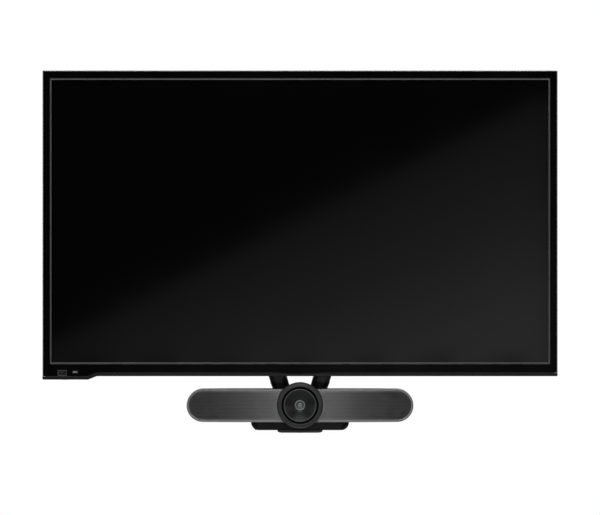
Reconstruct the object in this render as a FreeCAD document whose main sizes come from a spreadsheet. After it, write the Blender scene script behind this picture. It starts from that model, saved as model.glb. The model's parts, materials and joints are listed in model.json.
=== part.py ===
"""Wall-mounted smart display with a camera bar hung under it on two steel arms.

Frame: origin at the centre of the 200 x 200 wall-mount hole pattern, on the rear
faces of its four standoffs. +Z is up, +X is to the viewer's right, and the screen
faces -Y. All lengths are in millimetres. Depths are counted forward from the
origin plane, so a depth of 72 is the plane y = -72.
"""
import FreeCAD, Part
import os
import re

import Sketcher
from FreeCAD import Placement, Rotation, Vector

doc = FreeCAD.newDocument("smart_display")

# ---------------------------------------------------------------- driving sizes
DRIVING = {
    # display casing
    "display_width": 916.0, "display_height": 543.6, "display_front": 72.0,
    "bezel_depth": 18.0, "bezel_skin": 2.5, "bezel_wall": 2.0,
    "opening_width": 888.0, "opening_height": 506.4, "opening_rise": 3.8,
    "trim_width": 2.0, "lip_height": 5.0, "lip_setback": 1.0,
    "bump_width": 81.0, "bump_ramp": 16.0, "bump_drop": 6.2,
    # panel layers, from the glass back
    "panel_front": 69.5, "glass_thick": 1.6, "frame_thick": 1.0, "sheets_thick": 0.8,
    "guide_thick": 3.0, "reflector_thick": 0.3, "pan_thick": 1.0,
    "pan_width": 904.0, "pan_height": 520.0, "layer_gap": 1.0,
    # rear cover
    "cover_wall": 2.5, "rim_rear": 40.0, "hump_rear": 12.0,
    "hump_width": 620.0, "hump_height": 400.0, "hump_taper": 28.0,
    "vent_pitch": 20.0, "vent_count": 24, "vent_width": 5.0, "vent_height": 34.0,
    # wall mount and arms
    "mount_pitch": 200.0, "mount_hole_radius": 3.0, "standoff_radius": 10.0,
    "stud_radius": 4.0, "thread_depth": 14.0,
    "insert_radius": 9.0, "arm_thick": 3.0, "arm_half_width": 15.0,
    "arm_foot_x": 27.7, "arm_foot_drop": 310.0, "arm_top_x": 119.6, "arm_top_drop": 43.0,
    "arm_slot_radius": 4.2, "flange_thick": 2.0, "flange_depth": 5.0,
    "arm_rim": 3.0, "arm_rim_depth": 4.0, "arm_web_half_width": 8.2, "arm_web_depth": 2.8,
    "pivot_radius": 4.0, "plate_half_width": 45.0, "plate_top_drop": 296.0,
    # camera bar
    "bar_width": 403.2, "bar_height": 58.5, "bar_drop": 323.6, "bar_front": 98.0,
    "bar_curve_radius": 960.0, "bar_rear": 30.0, "bar_end_rear": 52.0, "bar_wall": 2.5,
    "frame_depth": 8.0, "frame_rim": 4.0, "grille_setback": 1.0, "grille_thick": 1.2,
    "driver_offset": 120.0, "driver_radius": 22.0,
    # base and shelf
    "base_width": 173.4, "base_bottom_drop": 367.0, "base_front": 92.0, "base_rear": 46.0,
    "base_corner": 13.5, "shelf_half_width": 40.0, "shelf_thick": 3.0, "pad_thick": 1.6,
    "shelf_rear": 4.0, "clamp_depth": 32.0, "shelf_travel": 20.0, "clamp_radius": 3.0,
    # camera eye, centred a little above the middle of the bar
    "eye_depth": 102.0, "eye_drop": 322.2, "ring_radius": 40.8, "ring_reach": 16.0,
    "crown_fall": 9.0, "lip_radius": 32.7, "pod_wall": 2.0, "ball_radius": 33.0,
    "ball_wall": 2.5, "face_reach": 16.6, "ball_tail": 10.0, "funnel_radius": 27.3,
    "lens_radius": 9.3, "lens_reach": 10.0,
    "yoke_outer": 25.5, "yoke_inner": 21.5, "yoke_half_depth": 3.5, "pin_radius": 2.0,
    "pin_clearance": 0.06, "strap_outer": 29.8, "strap_inner": 26.3, "strap_half_width": 5.0,
    # button and sensor window
    "button_width": 12.0, "button_depth": 8.0, "button_reach": 0.4, "button_gap": 0.25,
    "button_offset": 40.0, "button_centre_depth": 60.0,
    "window_width": 14.8, "window_height": 8.5, "window_offset": 28.0, "window_rise": 2.6,
    "led_width": 7.0, "led_height": 2.0, "led_offset": 54.5,
    # general
    "port_left": 190.0, "inlet_left": -285.0, "port_bottom": -175.0, "bar_port_left": 24.0,
    "pin_tip": 30.2, "motor_radius": 4.5, "motor_length": 5.0,
    "board_thick": 1.6, "screw_radius": 2.0, "screw_head_radius": 3.8, "screw_head": 2.0,
}

sheet = doc.addObject("Spreadsheet::Sheet", "Sizes")
for row, (alias, size) in enumerate(DRIVING.items(), start=1):
    sheet.set(f"A{row}", alias)
    sheet.set(f"B{row}", str(size))
    sheet.setAlias(f"B{row}", alias)
doc.recompute()

SUB_PARTS = []
ALONG_X = Rotation(Vector(0, 0, 1), Vector(1, 0, 0))
ALONG_Y = Rotation(Vector(0, 0, 1), Vector(0, 1, 0))
ALONG_Z = Rotation()
FORWARD = Rotation(Vector(0, 0, 1), Vector(0, -1, 0))
SIDES = (("left", -1), ("right", 1))


# ---------------------------------------------------------------- helpers
def in_sheet_terms(expression):
    """The expression with each alias written as a reference to the sheet."""
    return re.sub(r"[a-z_]+", lambda word: "Sizes." + word.group()
                  if word.group() in DRIVING else word.group(), str(expression))


def bind(target, path, expression):
    target.setExpression(path, in_sheet_terms(expression))


def value(expression):
    return float(sheet.evalExpression(in_sheet_terms(expression)))


def keep(target, label):
    """Names a finished sub-part and lists it for export."""
    target.Label = label
    SUB_PARTS.append(target)
    return target


def place(target, corner, rotation=None):
    if rotation is not None:
        target.Placement = Placement(Vector(), rotation)
    for axis, expression in zip("xyz", corner):
        bind(target, f"Placement.Base.{axis}", expression)
    return target


# Part primitives. Corners and centres are (x, y, z) expressions.
def block(name, low, high):
    """A box between two corners."""
    solid = doc.addObject("Part::Box", name)
    for side, start, end in zip(("Length", "Width", "Height"), low, high):
        bind(solid, side, f"({end}) - ({start})")
    return place(solid, low)


def slab(name, left, right, bottom, top, rear, front):
    """A box given by its x range, z range and depth range."""
    return block(name, (left, f"-({front})", bottom), (right, f"-({rear})", top))


def rod(name, centre, radius, length, rotation):
    solid = doc.addObject("Part::Cylinder", name)
    bind(solid, "Radius", radius)
    bind(solid, "Height", length)
    return place(solid, centre, rotation)


def taper(name, centre, near_radius, far_radius, length, rotation):
    solid = doc.addObject("Part::Cone", name)
    bind(solid, "Radius1", near_radius)
    bind(solid, "Radius2", far_radius)
    bind(solid, "Height", length)
    return place(solid, centre, rotation)


def ball(name, centre, radius):
    solid = doc.addObject("Part::Sphere", name)
    bind(solid, "Radius", radius)
    return place(solid, centre)


def union(name, *solids):
    whole = doc.addObject("Part::MultiFuse", name)
    whole.Shapes = list(solids)
    whole.Refine = True
    return whole


def group(name, solids):
    """Separate solids that share one node."""
    whole = doc.addObject("Part::Compound", name)
    whole.Links = list(solids)
    return whole


def difference(name, base, *tools):
    remainder = doc.addObject("Part::Cut", name)
    remainder.Base = base
    remainder.Tool = tools[0] if len(tools) == 1 else union(name + "_tools", *tools)
    remainder.Refine = True
    return remainder


def overlap(name, *solids):
    shared = doc.addObject("Part::MultiCommon", name)
    shared.Shapes = list(solids)
    return shared


# PartDesign bodies. Sketches on XZ_Plane face -Y, so their offset is a depth.
def new_body(label):
    return keep(doc.addObject("PartDesign::Body", label + "_body"), label)


def new_sketch(body, plane, offset):
    sketch = body.newObject("Sketcher::SketchObject", body.Name + "_sketch")
    origin_plane = next(item for item in body.Origin.OriginFeatures if item.Role == plane)
    sketch.AttachmentSupport = (origin_plane, [""])
    sketch.MapMode = "FlatFace"
    bind(sketch, "AttachmentOffset.Base.z", offset)
    return sketch


def bind_point(sketch, geometry, vertex, point):
    for kind, expression in zip(("DistanceX", "DistanceY"), point):
        constraint = Sketcher.Constraint(kind, -1, 1, geometry, vertex, value(expression))
        bind(sketch, f"Constraints[{sketch.addConstraint(constraint)}]", expression)


def draw_polygon(sketch, points):
    """A closed outline whose corners are bound to expressions."""
    corners = [Vector(value(x), value(y), 0) for x, y in points]
    first = sketch.GeometryCount
    for start, end in zip(corners, corners[1:] + corners[:1]):
        sketch.addGeometry(Part.LineSegment(start, end))
    for index, point in enumerate(points):
        following = first + (index + 1) % len(points)
        sketch.addConstraint(Sketcher.Constraint("Coincident", first + index, 2, following, 1))
        bind_point(sketch, first + index, 1, point)


def draw_rectangle(sketch, left, right, bottom, top):
    draw_polygon(sketch, [(left, bottom), (right, bottom), (right, top), (left, top)])


def draw_circle(sketch, centre, radius):
    middle = Vector(value(centre[0]), value(centre[1]), 0)
    circle = sketch.addGeometry(Part.Circle(middle, Vector(0, 0, 1), value(radius)))
    bind_point(sketch, circle, 3, centre)
    constraint = Sketcher.Constraint("Radius", circle, value(radius))
    bind(sketch, f"Constraints[{sketch.addConstraint(constraint)}]", radius)


def draw_stadium(sketch, start, end, radius):
    """Two half circles about start and end, joined by straight sides."""
    first_centre = Vector(value(start[0]), value(start[1]), 0)
    last_centre = Vector(value(end[0]), value(end[1]), 0)
    size = value(radius)
    along = (last_centre - first_centre).normalize()
    across = Vector(-along.y, along.x, 0) * size
    first_cap = Part.Arc(first_centre + across, first_centre - along * size, first_centre - across)
    last_cap = Part.Arc(last_centre - across, last_centre + along * size, last_centre + across)
    geometry = [first_cap, Part.LineSegment(first_centre - across, last_centre - across),
                last_cap, Part.LineSegment(last_centre + across, first_centre + across)]
    first = sketch.GeometryCount
    for item in geometry:
        sketch.addGeometry(item)
    cap, side, far_cap, far_side = range(first, first + 4)
    for joined in ((cap, 2, side, 1), (side, 2, far_cap, 1), (far_cap, 2, far_side, 1),
                   (far_side, 2, cap, 1)):
        sketch.addConstraint(Sketcher.Constraint("Tangent", *joined))
    bind_point(sketch, cap, 3, start)
    bind_point(sketch, far_cap, 3, end)
    constraint = Sketcher.Constraint("Radius", cap, size)
    bind(sketch, f"Constraints[{sketch.addConstraint(constraint)}]", radius)


def pad(body, sketch, length, rearward=False, taper_angle=None):
    feature = body.newObject("PartDesign::Pad", body.Name + "_pad")
    feature.Profile = sketch
    bind(feature, "Length", length)
    feature.Reversed = rearward
    if taper_angle is not None:
        bind(feature, "TaperAngle", taper_angle)
    doc.recompute()
    return feature


def pocket(body, sketch, length, onward=False, taper_angle=None):
    """Cuts against the sketch's normal, or along it when onward."""
    volume_before = body.Shape.Volume
    feature = body.newObject("PartDesign::Pocket", body.Name + "_pocket")
    feature.Profile = sketch
    bind(feature, "Length", length)
    feature.Reversed = onward
    if taper_angle is not None:
        bind(feature, "TaperAngle", taper_angle)
    doc.recompute()
    if body.Shape.Volume >= volume_before:
        raise RuntimeError(f"{feature.Name} cuts nothing")
    return feature


def pattern(body, feature, sketch, axis, length, count):
    """Repeats a feature along one of its sketch's axes."""
    row_feature = body.newObject("PartDesign::LinearPattern", feature.Name + "_row")
    row_feature.Originals = [feature]
    row_feature.Direction = (sketch, [axis])
    bind(row_feature, "Length", length)
    bind(row_feature, "Occurrences", count)
    body.Tip = row_feature
    doc.recompute()
    return row_feature


def fillet(body, feature, radius, is_wanted):
    """Rounds the edges of a feature that the given test picks."""
    names = [f"Edge{number}" for number, edge in enumerate(feature.Shape.Edges, start=1)
             if is_wanted(edge)]
    rounded = body.newObject("PartDesign::Fillet", body.Name + "_fillet")
    rounded.Base = (feature, names)
    bind(rounded, "Radius", radius)
    doc.recompute()
    return rounded


def runs_along(edge, direction):
    if edge.Curve.TypeId != "Part::GeomLine":
        return False
    return abs(edge.tangentAt(edge.FirstParameter).dot(direction)) > 0.999


def screws(label, spots, rear, length):
    """Pan-head screws whose heads face the wall, with head tops at the given depth."""
    parts = []
    for index, (x, z) in enumerate(spots):
        name = f"{label}_{index}"
        head = rod(name + "_head", (x, f"-({rear})", z), "screw_head_radius", "screw_head", FORWARD)
        shank = rod(name + "_shank", (x, f"-({rear}) - screw_head", z), "screw_radius",
                    f"({length})", FORWARD)
        parts.append(union(name, head, shank))
    return keep(group(label + "_group", parts), label)


# ---------------------------------------------------------------- display casing
LEFT_EDGE = "-display_width / 2"
RIGHT_EDGE = "display_width / 2"
TOP_EDGE = "display_height / 2"
BOTTOM_EDGE = "-display_height / 2"
CASING_REAR = "display_front - bezel_depth"


def draw_casing_outline(sketch, inset, bottom):
    """The casing's front outline, with the low stretch at its left end."""
    ramp_end = f"{LEFT_EDGE} + bump_width + bump_ramp"
    draw_polygon(sketch, [
        (f"{LEFT_EDGE} + {inset}", f"{TOP_EDGE} - {inset}"),
        (f"{RIGHT_EDGE} - {inset}", f"{TOP_EDGE} - {inset}"),
        (f"{RIGHT_EDGE} - {inset}", f"{bottom} + {inset}"),
        (f"{ramp_end} - {inset}", f"{bottom} + {inset}"),
        (f"{LEFT_EDGE} + bump_width - {inset}", f"{bottom} - bump_drop + {inset}"),
        (f"{LEFT_EDGE} + {inset}", f"{bottom} - bump_drop + {inset}"),
    ])


WINDOW_LEFT = f"{LEFT_EDGE} + window_offset"
WINDOW_BOTTOM = f"{BOTTOM_EDGE} + lip_height - bump_drop + window_rise"
LED_LEFT = f"{LEFT_EDGE} + led_offset"
LED_BOTTOM = f"{WINDOW_BOTTOM} + window_height / 2 - led_height / 2 + 2"
BUTTON_X = f"{LEFT_EDGE} + button_offset"
BUMP_FLOOR = f"{BOTTOM_EDGE} + lip_height - bump_drop"


def make_front_bezel():
    body = new_body("front_bezel")
    outline = new_sketch(body, "XZ_Plane", CASING_REAR)
    draw_casing_outline(outline, "0", f"{BOTTOM_EDGE} + lip_height")
    shell = pad(body, outline, "bezel_depth")
    fillet(body, shell, "bezel_wall", lambda edge: runs_along(edge, Vector(0, 1, 0))
           and edge.CenterOfMass.z > 0)

    opening = new_sketch(body, "XZ_Plane", "display_front + 1")
    draw_rectangle(opening, "-opening_width / 2", "opening_width / 2",
                   "opening_rise - opening_height / 2", "opening_rise + opening_height / 2")
    pocket(body, opening, "bezel_depth + 2")

    hollow = new_sketch(body, "XZ_Plane", "display_front - bezel_skin")
    draw_casing_outline(hollow, "bezel_wall", f"{BOTTOM_EDGE} + lip_height")
    pocket(body, hollow, "bezel_depth")

    window = new_sketch(body, "XZ_Plane", "display_front + 1")
    draw_rectangle(window, WINDOW_LEFT, f"{WINDOW_LEFT} + window_width",
                   WINDOW_BOTTOM, f"{WINDOW_BOTTOM} + window_height")
    draw_rectangle(window, LED_LEFT, f"{LED_LEFT} + led_width",
                   LED_BOTTOM, f"{LED_BOTTOM} + led_height")
    pocket(body, window, "bezel_skin + 2")

    button_hole = new_sketch(body, "XY_Plane", f"{BUMP_FLOOR} + bezel_wall + 1")
    draw_button_outline(button_hole, "button_gap")
    pocket(body, button_hole, "bezel_wall + 2")


def draw_button_outline(sketch, margin):
    draw_rectangle(sketch, f"{BUTTON_X} - button_width / 2 - {margin}",
                   f"{BUTTON_X} + button_width / 2 + {margin}",
                   f"-button_centre_depth - button_depth / 2 - {margin}",
                   f"-button_centre_depth + button_depth / 2 + {margin}")


def make_bottom_trim():
    """The lip under the bezel, which follows its low left end."""
    body = new_body("bottom_trim")
    outline = new_sketch(body, "XZ_Plane", CASING_REAR)
    upper = f"{BOTTOM_EDGE} + lip_height"
    ramp_end = f"{LEFT_EDGE} + bump_width + bump_ramp"
    low_end = f"{LEFT_EDGE} + bump_width"
    draw_polygon(outline, [
        (LEFT_EDGE, f"{upper} - bump_drop"), (low_end, f"{upper} - bump_drop"),
        (ramp_end, upper), (RIGHT_EDGE, upper), (RIGHT_EDGE, BOTTOM_EDGE),
        (ramp_end, BOTTOM_EDGE), (low_end, f"{BOTTOM_EDGE} - bump_drop"),
        (LEFT_EDGE, f"{BOTTOM_EDGE} - bump_drop"),
    ])
    strip = pad(body, outline, "bezel_depth - lip_setback")
    low_left = Vector(value(LEFT_EDGE), 0, value(f"{BOTTOM_EDGE} - bump_drop"))
    low_right = Vector(value(RIGHT_EDGE), 0, value(BOTTOM_EDGE))

    def is_low_corner(edge):
        centre = Vector(edge.CenterOfMass.x, 0, edge.CenterOfMass.z)
        nearest = min(centre.distanceToPoint(low_left), centre.distanceToPoint(low_right))
        return runs_along(edge, Vector(0, 1, 0)) and nearest < 0.1

    fillet(body, strip, "bezel_wall", is_low_corner)
    button_hole = new_sketch(body, "XY_Plane", f"{BUMP_FLOOR} + 1")
    draw_button_outline(button_hole, "button_gap")
    pocket(body, button_hole, "lip_height + 2")


def make_power_button():
    """A push button that looks down out of the low stretch of the casing."""
    body = new_body("power_button")
    stem = new_sketch(body, "XY_Plane", f"{BUMP_FLOOR} - lip_height - button_reach")
    draw_button_outline(stem, "0")
    pad(body, stem, "lip_height + button_reach + bezel_wall + 0.1")
    flange = new_sketch(body, "XY_Plane", f"{BUMP_FLOOR} + bezel_wall + 0.1")
    draw_button_outline(flange, "1.5")
    pad(body, flange, "1.2")


def make_screen_trim():
    body = new_body("screen_trim")
    ring = new_sketch(body, "XZ_Plane", "panel_front")
    for margin in ("0", "trim_width"):
        draw_rectangle(ring, f"-opening_width / 2 + {margin}", f"opening_width / 2 - {margin}",
                       f"opening_rise - opening_height / 2 + {margin}",
                       f"opening_rise + opening_height / 2 - {margin}")
    pad(body, ring, "display_front - panel_front - 0.6")


def layer(name, width, height, front, thick):
    """A flat rectangle centred on the screen, with its front at the given depth."""
    return slab(name, f"-({width}) / 2", f"({width}) / 2", f"opening_rise - ({height}) / 2",
                f"opening_rise + ({height}) / 2", f"{front} - ({thick})", front)


def make_panel_layers():
    inner_width = "pan_width - 2 * pan_thick - 2 * layer_gap"
    inner_height = "pan_height - 2 * pan_thick - 2 * layer_gap"
    guide_width = f"{inner_width} - 4 * layer_gap"
    guide_height = f"{inner_height} - 4 * layer_gap"
    keep(layer("glass", inner_width, inner_height, "panel_front", "glass_thick"), "lcd_panel")
    frame_front = "panel_front - glass_thick"
    ring = layer("frame_outer", inner_width, inner_height, frame_front, "frame_thick")
    hole = layer("frame_inner", "opening_width", "opening_height", f"{frame_front} + 1",
                 "frame_thick + 2")
    keep(difference("frame_ring", ring, hole), "panel_frame")
    sheets_front = f"{frame_front} - frame_thick"
    guide_front = f"{sheets_front} - sheets_thick"
    reflector_front = f"{guide_front} - guide_thick"
    pan_front = f"{reflector_front} - reflector_thick"
    keep(layer("sheets", guide_width, guide_height, sheets_front, "sheets_thick"), "optical_sheets")
    keep(layer("guide", guide_width, guide_height, guide_front, "guide_thick"), "light_guide")
    keep(layer("reflector", guide_width, guide_height, reflector_front, "reflector_thick"),
         "reflector_sheet")
    tray = layer("tray", "pan_width", "pan_height", "panel_front - 0.5",
                 f"panel_front - 0.5 - ({pan_front}) + pan_thick")
    tray_hollow = layer("tray_hollow", "pan_width - 2 * pan_thick", "pan_height - 2 * pan_thick",
                        "panel_front + 1", f"panel_front + 1 - ({pan_front})")
    keep(difference("tray_shell", tray, tray_hollow), "backlight_pan")
    strip_bottom = "opening_rise - pan_height / 2 + pan_thick + 0.3"
    keep(slab("lights", "-opening_width / 2", "opening_width / 2", strip_bottom,
              f"{strip_bottom} + 2.4", f"{reflector_front} + 0.1", f"{guide_front} - 0.1"),
         "led_strip")


PAN_REAR = ("panel_front - glass_thick - frame_thick - sheets_thick - guide_thick"
            " - reflector_thick - pan_thick")


def screw_holes(label, spots, rear, length):
    """Clearance holes for screws that are driven forward from the given depth."""
    return [rod(f"{label}_{index}", (x, f"-({rear})", z), "screw_radius + 0.1", length, FORWARD)
            for index, (x, z) in enumerate(spots)]


def circuit_board(label, left, right, bottom, top, rear, chips, spots=()):
    """A board with its chips, each chip given as (x, z, width, height, thickness)."""
    parts = [slab(label + "_card", left, right, bottom, top, rear, f"{rear} + board_thick")]
    for index, (x, z, width, height, thick) in enumerate(chips):
        parts.append(slab(f"{label}_chip_{index}", x, f"{x} + {width}", z, f"{z} + {height}",
                          f"{rear} - {thick}", rear))
    solid = union(label + "_solid", *parts)
    if spots:
        holes = screw_holes(label + "_hole", spots, f"{rear} - 1", "board_thick + 2")
        solid = difference(label + "_drilled", solid, *holes)
    keep(solid, label)


MAIN_BOARD_SCREWS = [(x, z) for x in (118, 282) for z in (-112, 22)]
POWER_BOARD_SCREWS = [(x, z) for x in (-282, -118) for z in (-112, 52)]


def make_display_electronics():
    circuit_board("main_board", "110", "290", "-120", "30", "48",
                  [(150, -60, 44, 44, 12), (220, -50, 26, 18, 2), (220, -20, 26, 18, 2),
                   (130, 0, 30, 16, 6)], MAIN_BOARD_SCREWS)
    circuit_board("power_board", "-290", "-110", "-120", "60", "48",
                  [(-280, -90, 40, 50, 20), (-220, -80, 36, 36, 24), (-170, -90, 30, 80, 18),
                   (-270, 0, 60, 30, 16)], POWER_BOARD_SCREWS)
    circuit_board("timing_board", "-90", "90", "-190", "-150", "54",
                  [(-20, -180, 22, 22, 2), (-70, -178, 30, 8, 3), (40, -178, 30, 8, 3)])
    ribbons = [slab(f"ribbon_{name}", f"{side} * 60 - 15", f"{side} * 60 + 15", "-240", "-190",
                    "54.4", "54.8") for name, side in SIDES]
    keep(group("ribbons", ribbons), "panel_ribbons")
    for name, side in SIDES:
        case = slab(f"speaker_{name}_case", f"{side} * 290 - 60", f"{side} * 290 + 60",
                    "-248", "-212", "44.5", "58")
        cone = rod(f"speaker_{name}_cone", (f"{side} * 290", "-46", "-230"), "14", "3", ALONG_Y)
        keep(difference(f"speaker_{name}_solid", case, cone), f"speaker_{name}")


def make_sensors():
    keep(slab("window", WINDOW_LEFT, f"{WINDOW_LEFT} + window_width", WINDOW_BOTTOM,
              f"{WINDOW_BOTTOM} + window_height", "panel_front", "display_front - 0.2"),
         "sensor_window")
    keep(slab("led", LED_LEFT, f"{LED_LEFT} + led_width", LED_BOTTOM,
              f"{LED_BOTTOM} + led_height", "panel_front", "display_front - 0.1"), "status_led")
    board = slab("sensor_card", f"{LEFT_EDGE} + 16", f"{LEFT_EDGE} + 68",
                 f"{BUMP_FLOOR} + bezel_wall + 3.4", f"{BUMP_FLOOR} + bezel_wall + 13.4",
                 "67", "68.6")
    switch = slab("tact_switch", f"{BUTTON_X} - 3", f"{BUTTON_X} + 3",
                  f"{BUMP_FLOOR} + bezel_wall + 2.4", f"{BUMP_FLOOR} + bezel_wall + 7.4",
                  "58", "67")
    keep(union("sensor_solid", board, switch), "sensor_board")


# ---------------------------------------------------------------- rear cover
REAR_WINDOWS = (("port_left", 100, 36), ("inlet_left", 44, 36))
RIM_SCREWS = [(f"{x} * (display_width / 2 - 22)", z) for x in (-1, 1) for z in (-180, 0, 180)]
RIM_SCREWS += [(x, f"{TOP_EDGE} - 22") for x in (-300, 0, 300)]
RIM_SCREWS += [(x, f"{BOTTOM_EDGE} + 14") for x in (-180, 180)]


def make_rear_cover():
    body = new_body("rear_cover")
    rim = new_sketch(body, "XZ_Plane", "rim_rear")
    draw_casing_outline(rim, "0.8", BOTTOM_EDGE)
    rim_pad = pad(body, rim, f"{CASING_REAR} - rim_rear")
    rim_rear_plane = value("-rim_rear")
    fillet(body, rim_pad, "8", lambda edge: abs(edge.CenterOfMass.y - rim_rear_plane) < 0.1)

    hump = new_sketch(body, "XZ_Plane", "rim_rear")
    draw_rectangle(hump, "-hump_width / 2", "hump_width / 2", "-hump_height / 2",
                   "hump_height / 2")
    hump_pad = pad(body, hump, "rim_rear - hump_rear", rearward=True, taper_angle="-hump_taper")
    hump_rear_plane = value("-hump_rear")
    fillet(body, hump_pad, "6", lambda edge: abs(edge.CenterOfMass.y - hump_rear_plane) < 0.1)

    hollow = new_sketch(body, "XZ_Plane", CASING_REAR)
    draw_casing_outline(hollow, "7", BOTTOM_EDGE)
    pocket(body, hollow, f"{CASING_REAR} - rim_rear - cover_wall")
    deep = new_sketch(body, "XZ_Plane", "rim_rear + cover_wall")
    draw_rectangle(deep, "-hump_width / 2 + 4", "hump_width / 2 - 4",
                   "-hump_height / 2 + 4", "hump_height / 2 - 4")
    pocket(body, deep, "rim_rear - hump_rear", taper_angle="-hump_taper")

    holes = new_sketch(body, "XZ_Plane", "hump_rear + cover_wall + 1")
    for x_sign in (-1, 1):
        for z_sign in (-1, 1):
            draw_circle(holes, (f"{x_sign} * mount_pitch / 2", f"{z_sign} * mount_pitch / 2"),
                        "stud_radius + 0.3")
    for left, width, height in REAR_WINDOWS:
        draw_rectangle(holes, left, f"{left} + {width}", "port_bottom", f"port_bottom + {height}")
    pocket(body, holes, "cover_wall + 2")

    rim_holes = new_sketch(body, "XZ_Plane", "rim_rear + cover_wall + 1")
    for spot in RIM_SCREWS:
        draw_circle(rim_holes, spot, "screw_radius + 0.1")
    pocket(body, rim_holes, "cover_wall + 2")

    vent = new_sketch(body, "XZ_Plane", "hump_rear + cover_wall + 1")
    row_left = "-vent_pitch * (vent_count - 1) / 2"
    draw_stadium(vent, (row_left, "hump_height / 2 - 70"),
                 (row_left, "hump_height / 2 - 70 + vent_height"), "vent_width / 2")
    first_vent = pocket(body, vent, "cover_wall + 2")
    pattern(body, first_vent, vent, "H_Axis", "vent_pitch * (vent_count - 1)", "vent_count")

    for side_sign in (-1, 1):
        outlet = new_sketch(body, "XZ_Plane", "rim_rear + cover_wall + 1")
        start = f"{side_sign} * 290 - 44"
        draw_stadium(outlet, (start, "-236"), (start, "-224"), "1.5")
        first_outlet = pocket(body, outlet, "cover_wall + 2")
        pattern(body, first_outlet, outlet, "H_Axis", "88", "12")


def port_block(label, left, width, height, rear, depth, cavities):
    """A socket block behind a window of the rear cover, open to the rear."""
    case = slab(label + "_case", left, f"{left} + {width}", "port_bottom",
                f"port_bottom + {height}", rear, f"{rear} + {depth}")
    hollows = [slab(f"{label}_cavity_{index}", f"{left} + {x}", f"{left} + {x} + {cavity_width}",
                    f"port_bottom + {z}", f"port_bottom + {z} + {cavity_height}",
                    f"{rear} - 1", f"{rear} + {depth} - 2")
               for index, (x, z, cavity_width, cavity_height) in enumerate(cavities)]
    return difference(label + "_solid", case, *hollows)


def make_rear_ports():
    """The socket panel, and the mains inlet with its three blades."""
    keep(port_block("jack_panel", "port_left", "100", "36", "hump_rear + 0.5", "16",
                    [(8, 6, 15, 6), (8, 20, 15, 6), (34, 6, 15, 6), (34, 20, 14, 7),
                     (64, 10, 15, 12)]), "jack_panel")
    inlet = port_block("inlet", "inlet_left", "44", "36", "hump_rear + 0.5", "22",
                       [(9, 9, 26, 18)])
    blades = [slab(f"blade_{index}", f"inlet_left + {x}", f"inlet_left + {x} + 2",
                   f"port_bottom + {z}", f"port_bottom + {z} + 4", "hump_rear + 12",
                   "hump_rear + 21") for index, (x, z) in enumerate(((14, 13), (21, 19), (28, 13)))]
    keep(union("inlet_with_blades", inlet, *blades), "power_inlet")


def make_fasteners():
    screws("rear_cover_screws", RIM_SCREWS, "rim_rear - screw_head", "10")
    screws("board_screws", MAIN_BOARD_SCREWS + POWER_BOARD_SCREWS, "48 - screw_head", "8")


# ---------------------------------------------------------------- wall mount and arms
CORNERS = [(x, z) for x in (-1, 1) for z in (-1, 1)]


def make_wall_mount():
    """Threaded inserts in the display, and the standoffs that clamp the arms to it.

    A standoff's stud is threaded outside for the insert and inside for the wall screw.
    """
    inserts = []
    standoffs = []
    for index, (x_sign, z_sign) in enumerate(CORNERS):
        x = f"{x_sign} * mount_pitch / 2"
        z = f"{z_sign} * mount_pitch / 2"
        insert_rear = "hump_rear + cover_wall"
        column = rod(f"insert_{index}", (x, f"-({insert_rear})", z), "insert_radius",
                     f"{PAN_REAR} - ({insert_rear})", FORWARD)
        bore = rod(f"insert_bore_{index}", (x, f"-({insert_rear}) + 1", z), "stud_radius + 0.05",
                   "18", FORWARD)
        inserts.append(difference(f"insert_solid_{index}", column, bore))
        seat = "hump_rear - arm_thick" if z_sign < 0 else "hump_rear"
        head = rod(f"standoff_{index}", (x, "0", z), "standoff_radius", seat, FORWARD)
        stud = rod(f"stud_{index}", (x, "arm_thick - hump_rear", z),
                   "stud_radius", "18", FORWARD)
        whole = union(f"standoff_with_stud_{index}", head, stud)
        thread = rod(f"thread_{index}", (x, "1", z), "mount_hole_radius", "thread_depth + 1",
                     FORWARD)
        standoffs.append(difference(f"standoff_solid_{index}", whole, thread))
    keep(group("insert_group", inserts), "vesa_inserts")
    keep(group("standoff_group", standoffs), "vesa_standoffs")


def along_arm(side, share):
    """A point on an arm's centre line, from its foot (0) to its top (1)."""
    return (f"{side} * (arm_foot_x + (arm_top_x - arm_foot_x) * {share})",
            f"-arm_foot_drop + (arm_foot_drop - arm_top_drop) * {share}")


def make_arm(name, side):
    body = new_body(f"arm_{name}")
    strip = new_sketch(body, "XZ_Plane", "hump_rear - arm_thick")
    draw_stadium(strip, along_arm(side, 0), along_arm(side, 1), "arm_half_width")
    pad(body, strip, "arm_thick")
    rim = new_sketch(body, "XZ_Plane", "hump_rear")
    draw_stadium(rim, along_arm(side, 0), along_arm(side, 0.33), "arm_half_width")
    draw_stadium(rim, along_arm(side, 0), along_arm(side, 0.33), "arm_half_width - arm_rim")
    pad(body, rim, "arm_rim_depth")
    web = new_sketch(body, "XZ_Plane", "hump_rear")
    draw_stadium(web, along_arm(side, 0.09), along_arm(side, 0.33), "arm_web_half_width")
    pad(body, web, "arm_web_depth")
    flanges = new_sketch(body, "XZ_Plane", "hump_rear - arm_thick")
    draw_stadium(flanges, along_arm(side, 0.12), along_arm(side, 0.68), "arm_half_width")
    draw_stadium(flanges, along_arm(side, 0.12), along_arm(side, 0.68),
                 "arm_half_width - flange_thick")
    pad(body, flanges, "flange_depth", rearward=True)
    slots = new_sketch(body, "XZ_Plane", "hump_rear + 3")
    draw_stadium(slots, along_arm(side, 0.72), along_arm(side, 0.96), "arm_slot_radius")
    draw_circle(slots, along_arm(side, 0), "pivot_radius + 0.1")
    pocket(body, slots, "12")


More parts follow.
